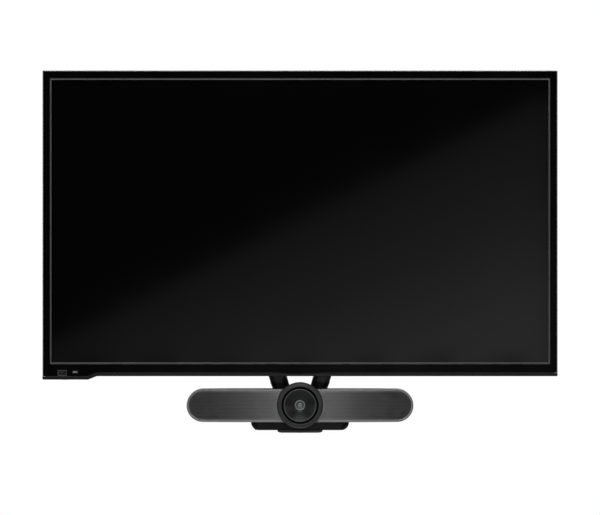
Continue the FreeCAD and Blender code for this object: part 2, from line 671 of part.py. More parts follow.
def make_arm_bolts():
    """Pivot bolts that join the arms to the lower plate, each with its nut."""
    bolts = []
    for name, side in SIDES:
        x, z = along_arm(side, 0)
        head = rod(f"pivot_head_{name}", (x, "-hump_rear", z), "pivot_radius * 1.9", "4", FORWARD)
        shank = rod(f"pivot_shank_{name}", (x, "-2", z), "pivot_radius", "hump_rear - 2 + 1",
                    FORWARD)
        nut = rod(f"pivot_nut_{name}", (x, "-2", z), "pivot_radius * 1.7", "4", FORWARD)
        bolts.append(union(f"pivot_{name}", head, shank, nut))
    keep(group("pivot_bolts", bolts), "arm_pivot_bolts")


SHELF_BOTTOM = "-base_bottom_drop - pad_thick - shelf_thick"
SHELF_TOP = "-base_bottom_drop - pad_thick"
PLATE_REAR = "hump_rear - 2 * arm_thick"


def make_mount_plate():
    """The bracket that carries the shelf: an upright plate and a forward flange."""
    upright = slab("upright", "-plate_half_width", "plate_half_width", SHELF_TOP,
                   "-plate_top_drop", PLATE_REAR, "hump_rear - arm_thick")
    flange = slab("flange", "-shelf_half_width + 8", "shelf_half_width - 8", SHELF_TOP,
                  f"{SHELF_TOP} + shelf_thick", PLATE_REAR, "base_rear - 2")
    pivots = [rod(f"plate_hole_{name}", (along_arm(side, 0)[0], "-hump_rear - 1",
                                         along_arm(side, 0)[1]),
                  "pivot_radius + 0.1", "14", ALONG_Y) for name, side in SIDES]
    clamp = rod("flange_hole", ("0", "-clamp_depth", f"{SHELF_TOP} - 1"), "clamp_radius + 0.06",
                "shelf_thick + 2", ALONG_Z)
    keep(difference("plate_solid", union("plate_whole", upright, flange), *pivots, clamp),
         "mount_plate")


def make_thumbscrew():
    """The knob and screw that clamp the shelf under the flange, and the nut below."""
    flange_top = f"{SHELF_TOP} + shelf_thick"
    knob = rod("knob", ("0", "-clamp_depth", f"{flange_top} + 0.1"), "7.5", "10", ALONG_Z)
    grooves = []
    for index in range(12):
        angle = index * 30
        grooves.append(rod(f"knob_groove_{index}",
                           (f"8.1 * cos({angle})", f"-clamp_depth + 8.1 * sin({angle})",
                            f"{flange_top} + 2"), "1.2", "9", ALONG_Z))
    screw_bottom = f"{SHELF_BOTTOM} - 2"
    screw = rod("clamp_screw", ("0", "-clamp_depth", screw_bottom), "clamp_radius",
                f"{flange_top} + 3 - ({screw_bottom})", ALONG_Z)
    keep(union("thumbscrew_solid", difference("knob_solid", knob, *grooves), screw), "thumbscrew")
    nut = slab("nut_block", "-5.5", "5.5", f"{SHELF_BOTTOM} - 2.2", f"{SHELF_BOTTOM} - 0.2",
               "clamp_depth - 5.5", "clamp_depth + 5.5")
    nut_hole = rod("nut_hole", ("0", "-clamp_depth", f"{SHELF_BOTTOM} - 5"), "clamp_radius + 0.06",
                   "7", ALONG_Z)
    keep(difference("nut_solid", nut, nut_hole), "clamp_nut")


# ---------------------------------------------------------------- shelf and base
def make_shelf():
    body = new_body("camera_shelf")
    profile = new_sketch(body, "XZ_Plane", "shelf_rear")
    curled_edge = [("0", "0"), ("1", "1.4"), ("3.6", "2.5"), ("8", "shelf_thick")]
    right = [(f"shelf_half_width - {inset}", f"{SHELF_TOP} - {drop}")
             for inset, drop in curled_edge]
    left = [(f"{inset} - shelf_half_width", f"{SHELF_TOP} - {drop}")
            for inset, drop in reversed(curled_edge)]
    draw_polygon(profile, right + left)
    pad(body, profile, "base_front - shelf_rear")
    slot = new_sketch(body, "XY_Plane", f"{SHELF_TOP} + 1")
    draw_stadium(slot, ("0", "-clamp_depth - 0.5"), ("0", "-clamp_depth + shelf_travel + 0.5"),
                 "clamp_radius + 0.3")
    for depth in SHELF_SCREW_DEPTHS:
        draw_circle(slot, ("0", f"-{depth}"), "screw_radius + 0.1")
    pocket(body, slot, "shelf_thick + 2")
    recess = new_sketch(body, "XY_Plane", f"{SHELF_BOTTOM} + screw_head")
    for depth in SHELF_SCREW_DEPTHS:
        draw_circle(recess, ("0", f"-{depth}"), "screw_head_radius + 0.1")
    pocket(body, recess, "screw_head + 1")
    cushion = slab("cushion", "-shelf_half_width", "shelf_half_width", SHELF_TOP,
                   "-base_bottom_drop", "base_rear", "base_front")
    holes = [rod(f"cushion_hole_{depth}", ("0", f"-{depth}", f"{SHELF_TOP} - 1"),
                 "screw_radius + 0.1", "pad_thick + 2", ALONG_Z) for depth in SHELF_SCREW_DEPTHS]
    keep(difference("cushion_solid", cushion, *holes), "shelf_pad")
    parts = []
    for depth in SHELF_SCREW_DEPTHS:
        head = rod(f"shelf_head_{depth}", ("0", f"-{depth}", SHELF_BOTTOM), "screw_head_radius",
                   "screw_head", ALONG_Z)
        shank = rod(f"shelf_shank_{depth}", ("0", f"-{depth}", SHELF_BOTTOM), "screw_radius",
                    "shelf_thick + pad_thick + 3", ALONG_Z)
        parts.append(union(f"shelf_screw_{depth}", head, shank))
    keep(group("shelf_screw_group", parts), "shelf_screws")


SHELF_SCREW_DEPTHS = (58, 78)
EYE = ("0", "-eye_depth", "-eye_drop")
POD_CLEARANCE = "ring_radius + 0.3"


def make_base():
    """The hollow plinth under the bar, cut away round the camera pod."""
    outer = doc.addObject("PartDesign::Body", "plinth")
    outline = new_sketch(outer, "XZ_Plane", "base_rear")
    draw_rectangle(outline, "-base_width / 2", "base_width / 2", "-base_bottom_drop",
                   "-bar_drop - bar_height / 2")
    whole = pad(outer, outline, "base_front - base_rear")
    fillet(outer, whole, "base_corner", lambda edge: runs_along(edge, Vector(0, 1, 0))
           and edge.CenterOfMass.z < value("-base_bottom_drop + 0.1"))
    hollow = slab("plinth_hollow", "-base_width / 2 + base_corner", "base_width / 2 - base_corner",
                  "-base_bottom_drop + 3", "-bar_drop - bar_height / 2 + 1",
                  "base_rear + bar_wall", "58")
    pod_space = ball("plinth_pod_space", EYE, POD_CLEARANCE)
    pod_front = rod("plinth_pod_front", EYE, POD_CLEARANCE, "30", FORWARD)
    holes = [rod(f"plinth_hole_{depth}", ("0", f"-{depth}", "-base_bottom_drop - 1"),
                 "screw_radius", "4.2", ALONG_Z) for depth in SHELF_SCREW_DEPTHS]
    keep(difference("plinth_solid", outer, hollow, pod_space, pod_front, *holes), "base_body")


# ---------------------------------------------------------------- camera bar
def pill(name, margin):
    """The bar's front outline, shrunk by a margin and drawn out through its depth."""
    sketch = doc.addObject("Sketcher::SketchObject", name + "_outline")
    sketch.Placement = Placement(Vector(), Rotation(Vector(1, 0, 0), 90))
    end_x = "(bar_width - bar_height) / 2"
    draw_stadium(sketch, (f"-{end_x}", "-bar_drop"), (end_x, "-bar_drop"),
                 f"bar_height / 2 - {margin}")
    solid = doc.addObject("Part::Extrusion", name)
    solid.Base = sketch
    solid.Dir = Vector(0, -1, 0)
    solid.DirMode = "Custom"
    solid.Solid = True
    bind(solid, "LengthFwd", "bar_front + 20")
    return solid


def curve_drum(name, setback):
    """The upright cylinder whose near side is the bar's curved front."""
    return rod(name, ("0", "bar_curve_radius - bar_front", "-bar_drop - bar_height"),
               f"bar_curve_radius - ({setback})", "2 * bar_height", ALONG_Z)


def rear_wedge(name, inset):
    """A block with the bar's rear outline: flat behind, and swept forward at the ends."""
    sketch = doc.addObject("Sketcher::SketchObject", name + "_outline")
    reach = "bar_width / 2 + 5"
    draw_polygon(sketch, [
        (f"-({reach})", "-bar_front - 10"), (reach, "-bar_front - 10"),
        (reach, f"-bar_end_rear - {inset}"), ("driver_offset", f"-bar_rear - {inset}"),
        ("-driver_offset", f"-bar_rear - {inset}"), (f"-({reach})", f"-bar_end_rear - {inset}"),
    ])
    bind(sketch, "Placement.Base.z", "-bar_drop - bar_height")
    solid = doc.addObject("Part::Extrusion", name)
    solid.Base = sketch
    solid.Dir = Vector(0, 0, 1)
    solid.DirMode = "Custom"
    solid.Solid = True
    bind(solid, "LengthFwd", "2 * bar_height")
    return solid


BAR_SCREWS = [(x, f"-bar_drop + {z}") for x in (-110, 110) for z in (-20, 20)]


def make_bar_housing():
    outer = overlap("housing_outer", pill("housing_pill", "0"),
                    curve_drum("housing_front", "frame_depth"), rear_wedge("housing_rear", "0"))
    inner = overlap("housing_inner", pill("cavity_pill", "bar_wall"),
                    curve_drum("cavity_front", "0"), rear_wedge("cavity_rear", "bar_wall"))
    pod_space = ball("housing_pod_space", EYE, POD_CLEARANCE)
    ports = slab("housing_ports", "bar_port_left", "bar_port_left + 66",
                 "-bar_drop - 10", "-bar_drop + 10", "bar_rear - 1", "bar_rear + bar_wall + 1")
    holes = screw_holes("housing_hole", BAR_SCREWS, "bar_rear - 1", "bar_wall + 2")
    keep(difference("housing_solid", outer, inner, pod_space, ports, *holes), "bar_rear_housing")


def make_bar_front():
    """The rim and the perforated grille on each side of the camera."""
    for name, side in SIDES:
        low_x, high_x = ("-bar_width", "0") if side < 0 else ("0", "bar_width")
        half = slab(f"half_{name}", low_x, high_x, "-bar_drop - bar_height",
                    "-bar_drop + bar_height", "0", "bar_front + 20")
        camera_space = rod(f"camera_space_{name}", ("0", "0", "-eye_drop"), POD_CLEARANCE,
                           "bar_front + 30", FORWARD)
        rim = overlap(f"rim_outer_{name}", pill(f"rim_pill_{name}", "0"),
                      curve_drum(f"rim_front_{name}", "0"), half)
        keep(difference(f"rim_solid_{name}", rim, pill(f"rim_hole_{name}", "frame_rim"),
                        curve_drum(f"rim_back_{name}", "frame_depth"), camera_space),
             f"bar_frame_{name}")
        mesh = overlap(f"mesh_outer_{name}", pill(f"mesh_pill_{name}", "frame_rim"),
                       curve_drum(f"mesh_front_{name}", "grille_setback"), half)
        keep(difference(f"mesh_solid_{name}", mesh,
                        curve_drum(f"mesh_back_{name}", "grille_setback + grille_thick"),
                        camera_space), f"speaker_grille_{name}")


def make_bar_insides():
    for name, side in SIDES:
        x = f"{side} * driver_offset"
        flange = rod(f"driver_flange_{name}", (x, "-82", "-bar_drop"), "driver_radius", "3",
                     FORWARD)
        basket = taper(f"driver_basket_{name}", (x, "-82", "-bar_drop"), "driver_radius - 2", "13",
                       "10", ALONG_Y)
        magnet = rod(f"driver_magnet_{name}", (x, "-72", "-bar_drop"), "13", "12", ALONG_Y)
        cone = taper(f"driver_cone_{name}", (x, "-85.1", "-bar_drop"), "driver_radius - 4", "8",
                     "7", ALONG_Y)
        keep(difference(f"driver_solid_{name}",
                        union(f"driver_whole_{name}", flange, basket, magnet), cone),
             f"driver_{name}")
    chips = [(-50, "-bar_drop - 12", 24, 24, 3), (-10, "-bar_drop - 14", 16, 12, 2)]
    circuit_board("bar_main_board", "-58", "92", "-bar_drop - 21", "-bar_drop + 21", "50", chips)
    keep(slab("microphones", "-160", "160", "-bar_drop + 23", "-bar_drop + 24.2", "52", "60"),
         "mic_board")
    case = slab("bar_socket_case", "bar_port_left", "bar_port_left + 66", "-bar_drop - 10",
                "-bar_drop + 10", "bar_rear + 0.5", "bar_rear + 14")
    cavities = [slab(f"bar_socket_{index}", f"bar_port_left + {x}",
                     f"bar_port_left + {x} + {width}", f"-bar_drop - {height} / 2",
                     f"-bar_drop + {height} / 2", "bar_rear - 1", "bar_rear + 12")
                for index, (x, width, height) in enumerate(((5, 15, 6), (28, 9, 3.4),
                                                            (45, 15, 12)))]
    keep(difference("bar_socket_solid", case, *cavities), "bar_ports")
    screws("bar_screws", BAR_SCREWS, "bar_rear - screw_head", "8")


# ---------------------------------------------------------------- camera eye
def make_camera_ring():
    """The round front bezel: a crown that rounds back from the eye to its outer edge."""
    body = new_body("camera_ring")
    profile = new_sketch(body, "XY_Plane", "0")
    crown = [(f"lip_radius + 0.6 + (ring_radius - lip_radius - 0.6) * sin({angle})",
              f"crown_fall * (1 - cos({angle})) - ring_reach") for angle in range(0, 91, 15)]
    draw_polygon(profile, [
        ("ring_radius - 2", "0"), ("ring_radius - 2.2", "-3"), ("lip_radius + 1.4", "-6"),
        ("lip_radius", "-8"), ("lip_radius", "1 - ring_reach"), *crown, ("ring_radius", "0"),
    ])
    turned = body.newObject("PartDesign::Revolution", "ring_turned")
    turned.Profile = profile
    turned.ReferenceAxis = (profile, ["V_Axis"])
    turned.Angle = 360
    place(body, EYE)
    doc.recompute()


def in_eye(x, y, z):
    """A point given from the eye's centre."""
    return (x, f"-eye_depth + ({y})", f"-eye_drop + ({z})")


def eye_block(name, low, high):
    return block(name, in_eye(*low), in_eye(*high))


def make_camera_pod():
    """The bowl behind the ring, and the strap inside that holds the pan pins."""
    front_half = eye_block("pod_front_half", (-60, -60, -60), (60, 0, 60))
    lead_hole = rod("pod_lead_hole", in_eye(14, 20, 0), "4", "30", ALONG_Y)
    keep(difference("pod_solid", ball("pod_outer", EYE, "ring_radius"),
                    ball("pod_inner", EYE, "ring_radius - pod_wall"), front_half, lead_hole),
         "camera_pod")
    hoop = rod("strap_hoop", in_eye("-strap_half_width", 0, 0), "strap_outer",
               "2 * strap_half_width", ALONG_X)
    hoop_hole = rod("strap_hole", in_eye("-strap_half_width - 1", 0, 0), "strap_inner",
                    "2 * strap_half_width + 2", ALONG_X)
    hoop_front = eye_block("strap_front", (-30, -40, -40), (30, -5, 40))
    stem = rod("strap_stem", in_eye(0, "strap_inner + 1", 0), "6",
               "sqrt((ring_radius - pod_wall)^2 - 36) - strap_inner - 1", ALONG_Y)
    pin_bore = rod("strap_bore", in_eye(0, 0, -40), "pin_radius + pin_clearance", "80", ALONG_Z)
    strap = difference("strap_arc", hoop, hoop_hole, hoop_front, pin_bore)
    keep(union("strap_solid", strap, stem), "gimbal_bracket")


def make_yoke():
    """The ring that pans on upright pins and carries the tilt pins."""
    hoop = rod("yoke_hoop", in_eye(0, "-yoke_half_depth", 0), "yoke_outer",
               "2 * yoke_half_depth", ALONG_Y)
    hole = rod("yoke_hole", in_eye(0, "-yoke_half_depth - 1", 0), "yoke_inner",
               "2 * yoke_half_depth + 2", ALONG_Y)
    ring = difference("yoke_ring", hoop, hole)
    pins = []
    for sign, name in ((-1, "low"), (1, "high")):
        start = "-strap_outer + 0.4" if sign < 0 else "yoke_outer - 1"
        pins.append(rod(f"pan_pin_{name}", in_eye(0, 0, start), "pin_radius",
                        "strap_outer - yoke_outer + 0.6", ALONG_Z))
        tilt_start = "-pin_tip" if sign < 0 else "yoke_outer - 1"
        pins.append(rod(f"tilt_pin_{name}", in_eye(tilt_start, 0, 0), "pin_radius",
                        "pin_tip - yoke_outer + 1", ALONG_X))
    keep(union("yoke_solid", ring, *pins), "pan_yoke")
    keep(rod("pan_motor_case", in_eye(0, 0, "0.6 - yoke_inner"), "motor_radius", "motor_length",
             ALONG_Z), "pan_motor")
    keep(rod("tilt_motor_case", in_eye("yoke_inner - 0.6 - motor_length", 0, 0), "motor_radius",
             "motor_length", ALONG_X), "tilt_motor")


def make_eye():
    """The round eye: a ball shell with a funnel face, its lens and its sensor."""
    shell = difference("eye_band", ball("eye_outer", EYE, "ball_radius"),
                       ball("eye_inner", EYE, "ball_radius - ball_wall"),
                       eye_block("eye_front_cut", (-60, -60, -60), (60, "-face_reach", 60)),
                       eye_block("eye_tail_cut", (-60, "ball_tail", -60), (60, 60, 60)))
    bosses = [rod(f"boss_{sign}", in_eye("-ball_radius + 0.9" if sign < 0 else "pin_tip - 2.2",
                                         0, 0), "4", "ball_radius - 0.9 - pin_tip + 2.2",
                  ALONG_X) for sign in (-1, 1)]
    cup = taper("cup_outer", in_eye(0, "-face_reach", 0), "funnel_radius + 1.1", "11",
                "face_reach - 7.5", ALONG_Y)
    cup_hollow = taper("cup_hollow", in_eye(0, "-face_reach - 0.1", 0), "funnel_radius",
                       "lens_radius + 0.3", "face_reach - 8.4", ALONG_Y)
    lens_hole = rod("lens_hole", in_eye(0, "-face_reach - 1", 0), "lens_radius + 0.05",
                    "face_reach", ALONG_Y)
    pin_holes = rod("pin_holes", in_eye("-pin_tip - 0.3", 0, 0), "pin_radius + pin_clearance",
                    "2 * pin_tip + 0.6", ALONG_X)
    keep(difference("eye_solid", union("eye_whole", shell, cup, *bosses), cup_hollow, lens_hole,
                    pin_holes), "eye_shell")
    neck = rod("barrel_neck", in_eye(0, "-lens_reach", 0), "lens_radius", "3", ALONG_Y)
    tube = rod("barrel_tube", in_eye(0, -7.4, 0), "lens_radius + 0.7", "15.4", ALONG_Y)
    bore = rod("barrel_bore", in_eye(0, -20, 0), "lens_radius - 2.8", "40", ALONG_Y)
    keep(difference("barrel_solid", union("barrel_whole", neck, tube), bore), "lens_barrel")
    disc = rod("glass_disc", in_eye(0, "-lens_reach + 0.4", 0), "lens_radius - 2.8", "4", ALONG_Y)
    dome = ball("glass_dome", in_eye(0, "-lens_reach + 0.8 + 14", 0), "14")
    keep(overlap("lens_solid", disc, dome), "lens_glass")
    keep(eye_block("sensor_chip", (-8.5, 8, -8.5), (8.5, 9.6, 8.5)), "image_sensor")


def build():
    make_front_bezel()
    make_bottom_trim()
    make_power_button()
    make_screen_trim()
    make_panel_layers()
    make_display_electronics()
    make_sensors()
    make_rear_cover()
    make_rear_ports()
    make_fasteners()
    make_wall_mount()
    for name, side in SIDES:
        make_arm(name, side)
    make_arm_bolts()
    make_mount_plate()
    make_thumbscrew()
    make_shelf()
    make_base()
    make_bar_housing()
    make_bar_front()
    make_bar_insides()
    make_camera_ring()
    make_camera_pod()
    make_yoke()
    make_eye()


def check_document():
    doc.recompute()
    for item in doc.Objects:
        if "Invalid" in item.State or "Error" in item.State:
            raise RuntimeError(f"{item.Label} did not compute")
    for item in SUB_PARTS:
        if item.Shape.isNull() or not item.Shape.isValid():
            raise RuntimeError(f"{item.Label} has no valid shape")


def export():
    os.makedirs("parts", exist_ok=True)
    for item in SUB_PARTS:
        item.Shape.exportStep(f"parts/{item.Label}.step")


build()
check_document()
export()
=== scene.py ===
"""The looks of the wall-mounted smart display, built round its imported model.

Metres, in the model's own frame: +Z up, +X to the viewer's right, screen facing -Y.
"""

import json
import math

import bmesh
import bpy
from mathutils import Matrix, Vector


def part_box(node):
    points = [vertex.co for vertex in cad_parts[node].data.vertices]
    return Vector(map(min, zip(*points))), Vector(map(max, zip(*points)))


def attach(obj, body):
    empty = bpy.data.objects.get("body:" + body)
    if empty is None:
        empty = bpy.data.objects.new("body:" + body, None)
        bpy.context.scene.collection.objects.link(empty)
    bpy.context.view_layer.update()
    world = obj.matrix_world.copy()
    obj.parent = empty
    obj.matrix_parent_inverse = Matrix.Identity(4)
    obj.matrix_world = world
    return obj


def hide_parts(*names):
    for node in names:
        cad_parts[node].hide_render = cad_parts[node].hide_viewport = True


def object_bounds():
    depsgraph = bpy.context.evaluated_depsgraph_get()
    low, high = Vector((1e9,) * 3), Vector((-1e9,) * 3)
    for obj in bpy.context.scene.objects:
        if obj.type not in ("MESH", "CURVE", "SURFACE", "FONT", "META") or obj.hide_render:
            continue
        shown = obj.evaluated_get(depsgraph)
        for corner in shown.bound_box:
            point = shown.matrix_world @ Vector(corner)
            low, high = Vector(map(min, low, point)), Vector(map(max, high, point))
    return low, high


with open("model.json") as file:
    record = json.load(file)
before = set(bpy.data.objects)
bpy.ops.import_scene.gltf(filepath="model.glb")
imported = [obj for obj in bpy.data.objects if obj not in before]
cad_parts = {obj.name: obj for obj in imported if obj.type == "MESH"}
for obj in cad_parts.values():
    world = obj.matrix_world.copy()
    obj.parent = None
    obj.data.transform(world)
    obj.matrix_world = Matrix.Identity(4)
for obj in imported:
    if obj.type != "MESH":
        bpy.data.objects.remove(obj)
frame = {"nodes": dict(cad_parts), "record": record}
cad_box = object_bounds()

MM = 0.001
SIDES = (("left", -1), ("right", 1))


# ---------------------------------------------------------------- materials
class Material:
    """A procedural surface on the object's own coordinates, in metres."""

    def __init__(self, name, colour, roughness, metallic=0.0, ior=1.5):
        self.material = bpy.data.materials.new(name)
        self.material.use_nodes = True
        self.nodes = self.material.node_tree.nodes
        self.links = self.material.node_tree.links
        self.shader = next(node for node in self.nodes if node.type == "BSDF_PRINCIPLED")
        self.shader.inputs["Base Color"].default_value = (*colour, 1.0)
        self.shader.inputs["Roughness"].default_value = roughness
        self.shader.inputs["Metallic"].default_value = metallic
        self.shader.inputs["IOR"].default_value = ior
        self.name = name
        self.colour = colour
        self.roughness = roughness
        self.coords = self.nodes.new("ShaderNodeTexCoord").outputs["Object"]
        self.normal = None

    def noise(self, scale, detail=4.0, stretch=None):
        """Noise with about `scale` features in each metre."""
        source = self.coords
        if stretch is not None:
            mapping = self.nodes.new("ShaderNodeMapping")
            mapping.inputs["Scale"].default_value = stretch
            self.links.new(source, mapping.inputs["Vector"])
            source = mapping.outputs["Vector"]
        texture = self.nodes.new("ShaderNodeTexNoise")
        texture.inputs["Scale"].default_value = scale
        texture.inputs["Detail"].default_value = detail
        self.links.new(source, texture.inputs["Vector"])
        return texture.outputs["Fac"]

    def remap(self, value, low, high, start=0.3, end=0.7):
        """Maps start..end onto low..high, and holds the ends beyond them."""
        node = self.nodes.new("ShaderNodeMapRange")
        for name, number in (("From Min", start), ("From Max", end), ("To Min", low),
                             ("To Max", high)):
            node.inputs[name].default_value = number
        self.links.new(value, node.inputs["Value"])
        return node.outputs["Result"]

    def mix(self, factor, first, second):
        """A colour mix; first and second are colours or sockets."""
        node = self.nodes.new("ShaderNodeMix")
        node.data_type = "RGBA"
        self.links.new(factor, node.inputs["Factor"])
        for socket, colour in ((node.inputs["A"], first), (node.inputs["B"], second)):
            if isinstance(colour, tuple):
                socket.default_value = (*colour, 1.0)
            else:
                self.links.new(colour, socket)
        return node.outputs["Result"]

    def vary_roughness(self, scale, spread, detail=4.0, stretch=None):
        """Patches that are a little rougher or smoother."""
        value = self.remap(self.noise(scale, detail, stretch), self.roughness - spread,
                           self.roughness + spread)
        self.links.new(value, self.shader.inputs["Roughness"])
        return self

    def vary_colour(self, scale, other, detail=4.0, stretch=None):
        """Patches of a second colour."""
        factor = self.remap(self.noise(scale, detail, stretch), 0.0, 1.0)
        self.links.new(self.mix(factor, self.colour, other), self.shader.inputs["Base Color"])
        return self

    def worn_edges(self, edge_colour, amount=0.5):
        """Lightens raised edges a little, as handling does."""
        pointiness = self.nodes.new("ShaderNodeNewGeometry").outputs["Pointiness"]
        edge = self.remap(pointiness, 0.0, amount, 0.505, 0.56)
        patches = self.remap(self.noise(60.0), 0.4, 1.0)
        factor = self.math("MULTIPLY", edge, patches)
        base = self.shader.inputs["Base Color"]
        self.links.new(self.mix(factor, self.colour_so_far(), edge_colour), base)
        return self

    def colour_so_far(self):
        """The socket that feeds the base colour, or the plain colour if nothing does."""
        base = self.shader.inputs["Base Color"]
        return base.links[0].from_socket if base.is_linked else self.colour

    def bump(self, height, strength, distance):
        """Adds a bump to any that the surface already has."""
        node = self.nodes.new("ShaderNodeBump")
        node.inputs["Strength"].default_value = strength
        node.inputs["Distance"].default_value = distance
        self.links.new(height, node.inputs["Height"])
        if self.normal is not None:
            self.links.new(self.normal, node.inputs["Normal"])
        self.normal = node.outputs["Normal"]
        self.links.new(self.normal, self.shader.inputs["Normal"])
        return self

    def grain(self, scale, strength, distance=0.00005, detail=2.0):
        """A fine bump all over."""
        return self.bump(self.noise(scale, detail), strength, distance)

    def math(self, operation, first, second=0.0):
        """A math node; first and second are floats or sockets."""
        node = self.nodes.new("ShaderNodeMath")
        node.operation = operation
        for socket, item in zip(node.inputs, (first, second)):
            if isinstance(item, float):
                socket.default_value = item
            else:
                self.links.new(item, socket)
        return node.outputs["Value"]

    def keep_inside_dark(self, inside, half_width, top):
        """Uses the colour `inside` below `top` and within `half_width` of the middle."""
        split = self.nodes.new("ShaderNodeSeparateXYZ")
        self.links.new(self.coords, split.inputs["Vector"])
        across = self.math("SUBTRACT", self.math("ABSOLUTE", split.outputs["X"]), half_width)
        above = self.math("SUBTRACT", split.outputs["Z"], top)
        outside = self.math("MAXIMUM", across, above)
        factor = self.remap(outside, 0.0, 1.0, -0.4 * MM, 0.4 * MM)
        base = self.shader.inputs["Base Color"]
        self.links.new(self.mix(factor, inside, self.colour_so_far()), base)
        return self

    def set(self, **sockets):
        """Sets the shader's own inputs; an underscore stands for a space."""
        for name, number in sockets.items():
            self.shader.inputs[name.replace("_", " ")].default_value = number
        return self


# The painted highlight on the casing's edge lies outside these; its other bevels stay dark.
HIGHLIGHT_HALF_WIDTH = 453 * MM
HIGHLIGHT_TOP = 268 * MM


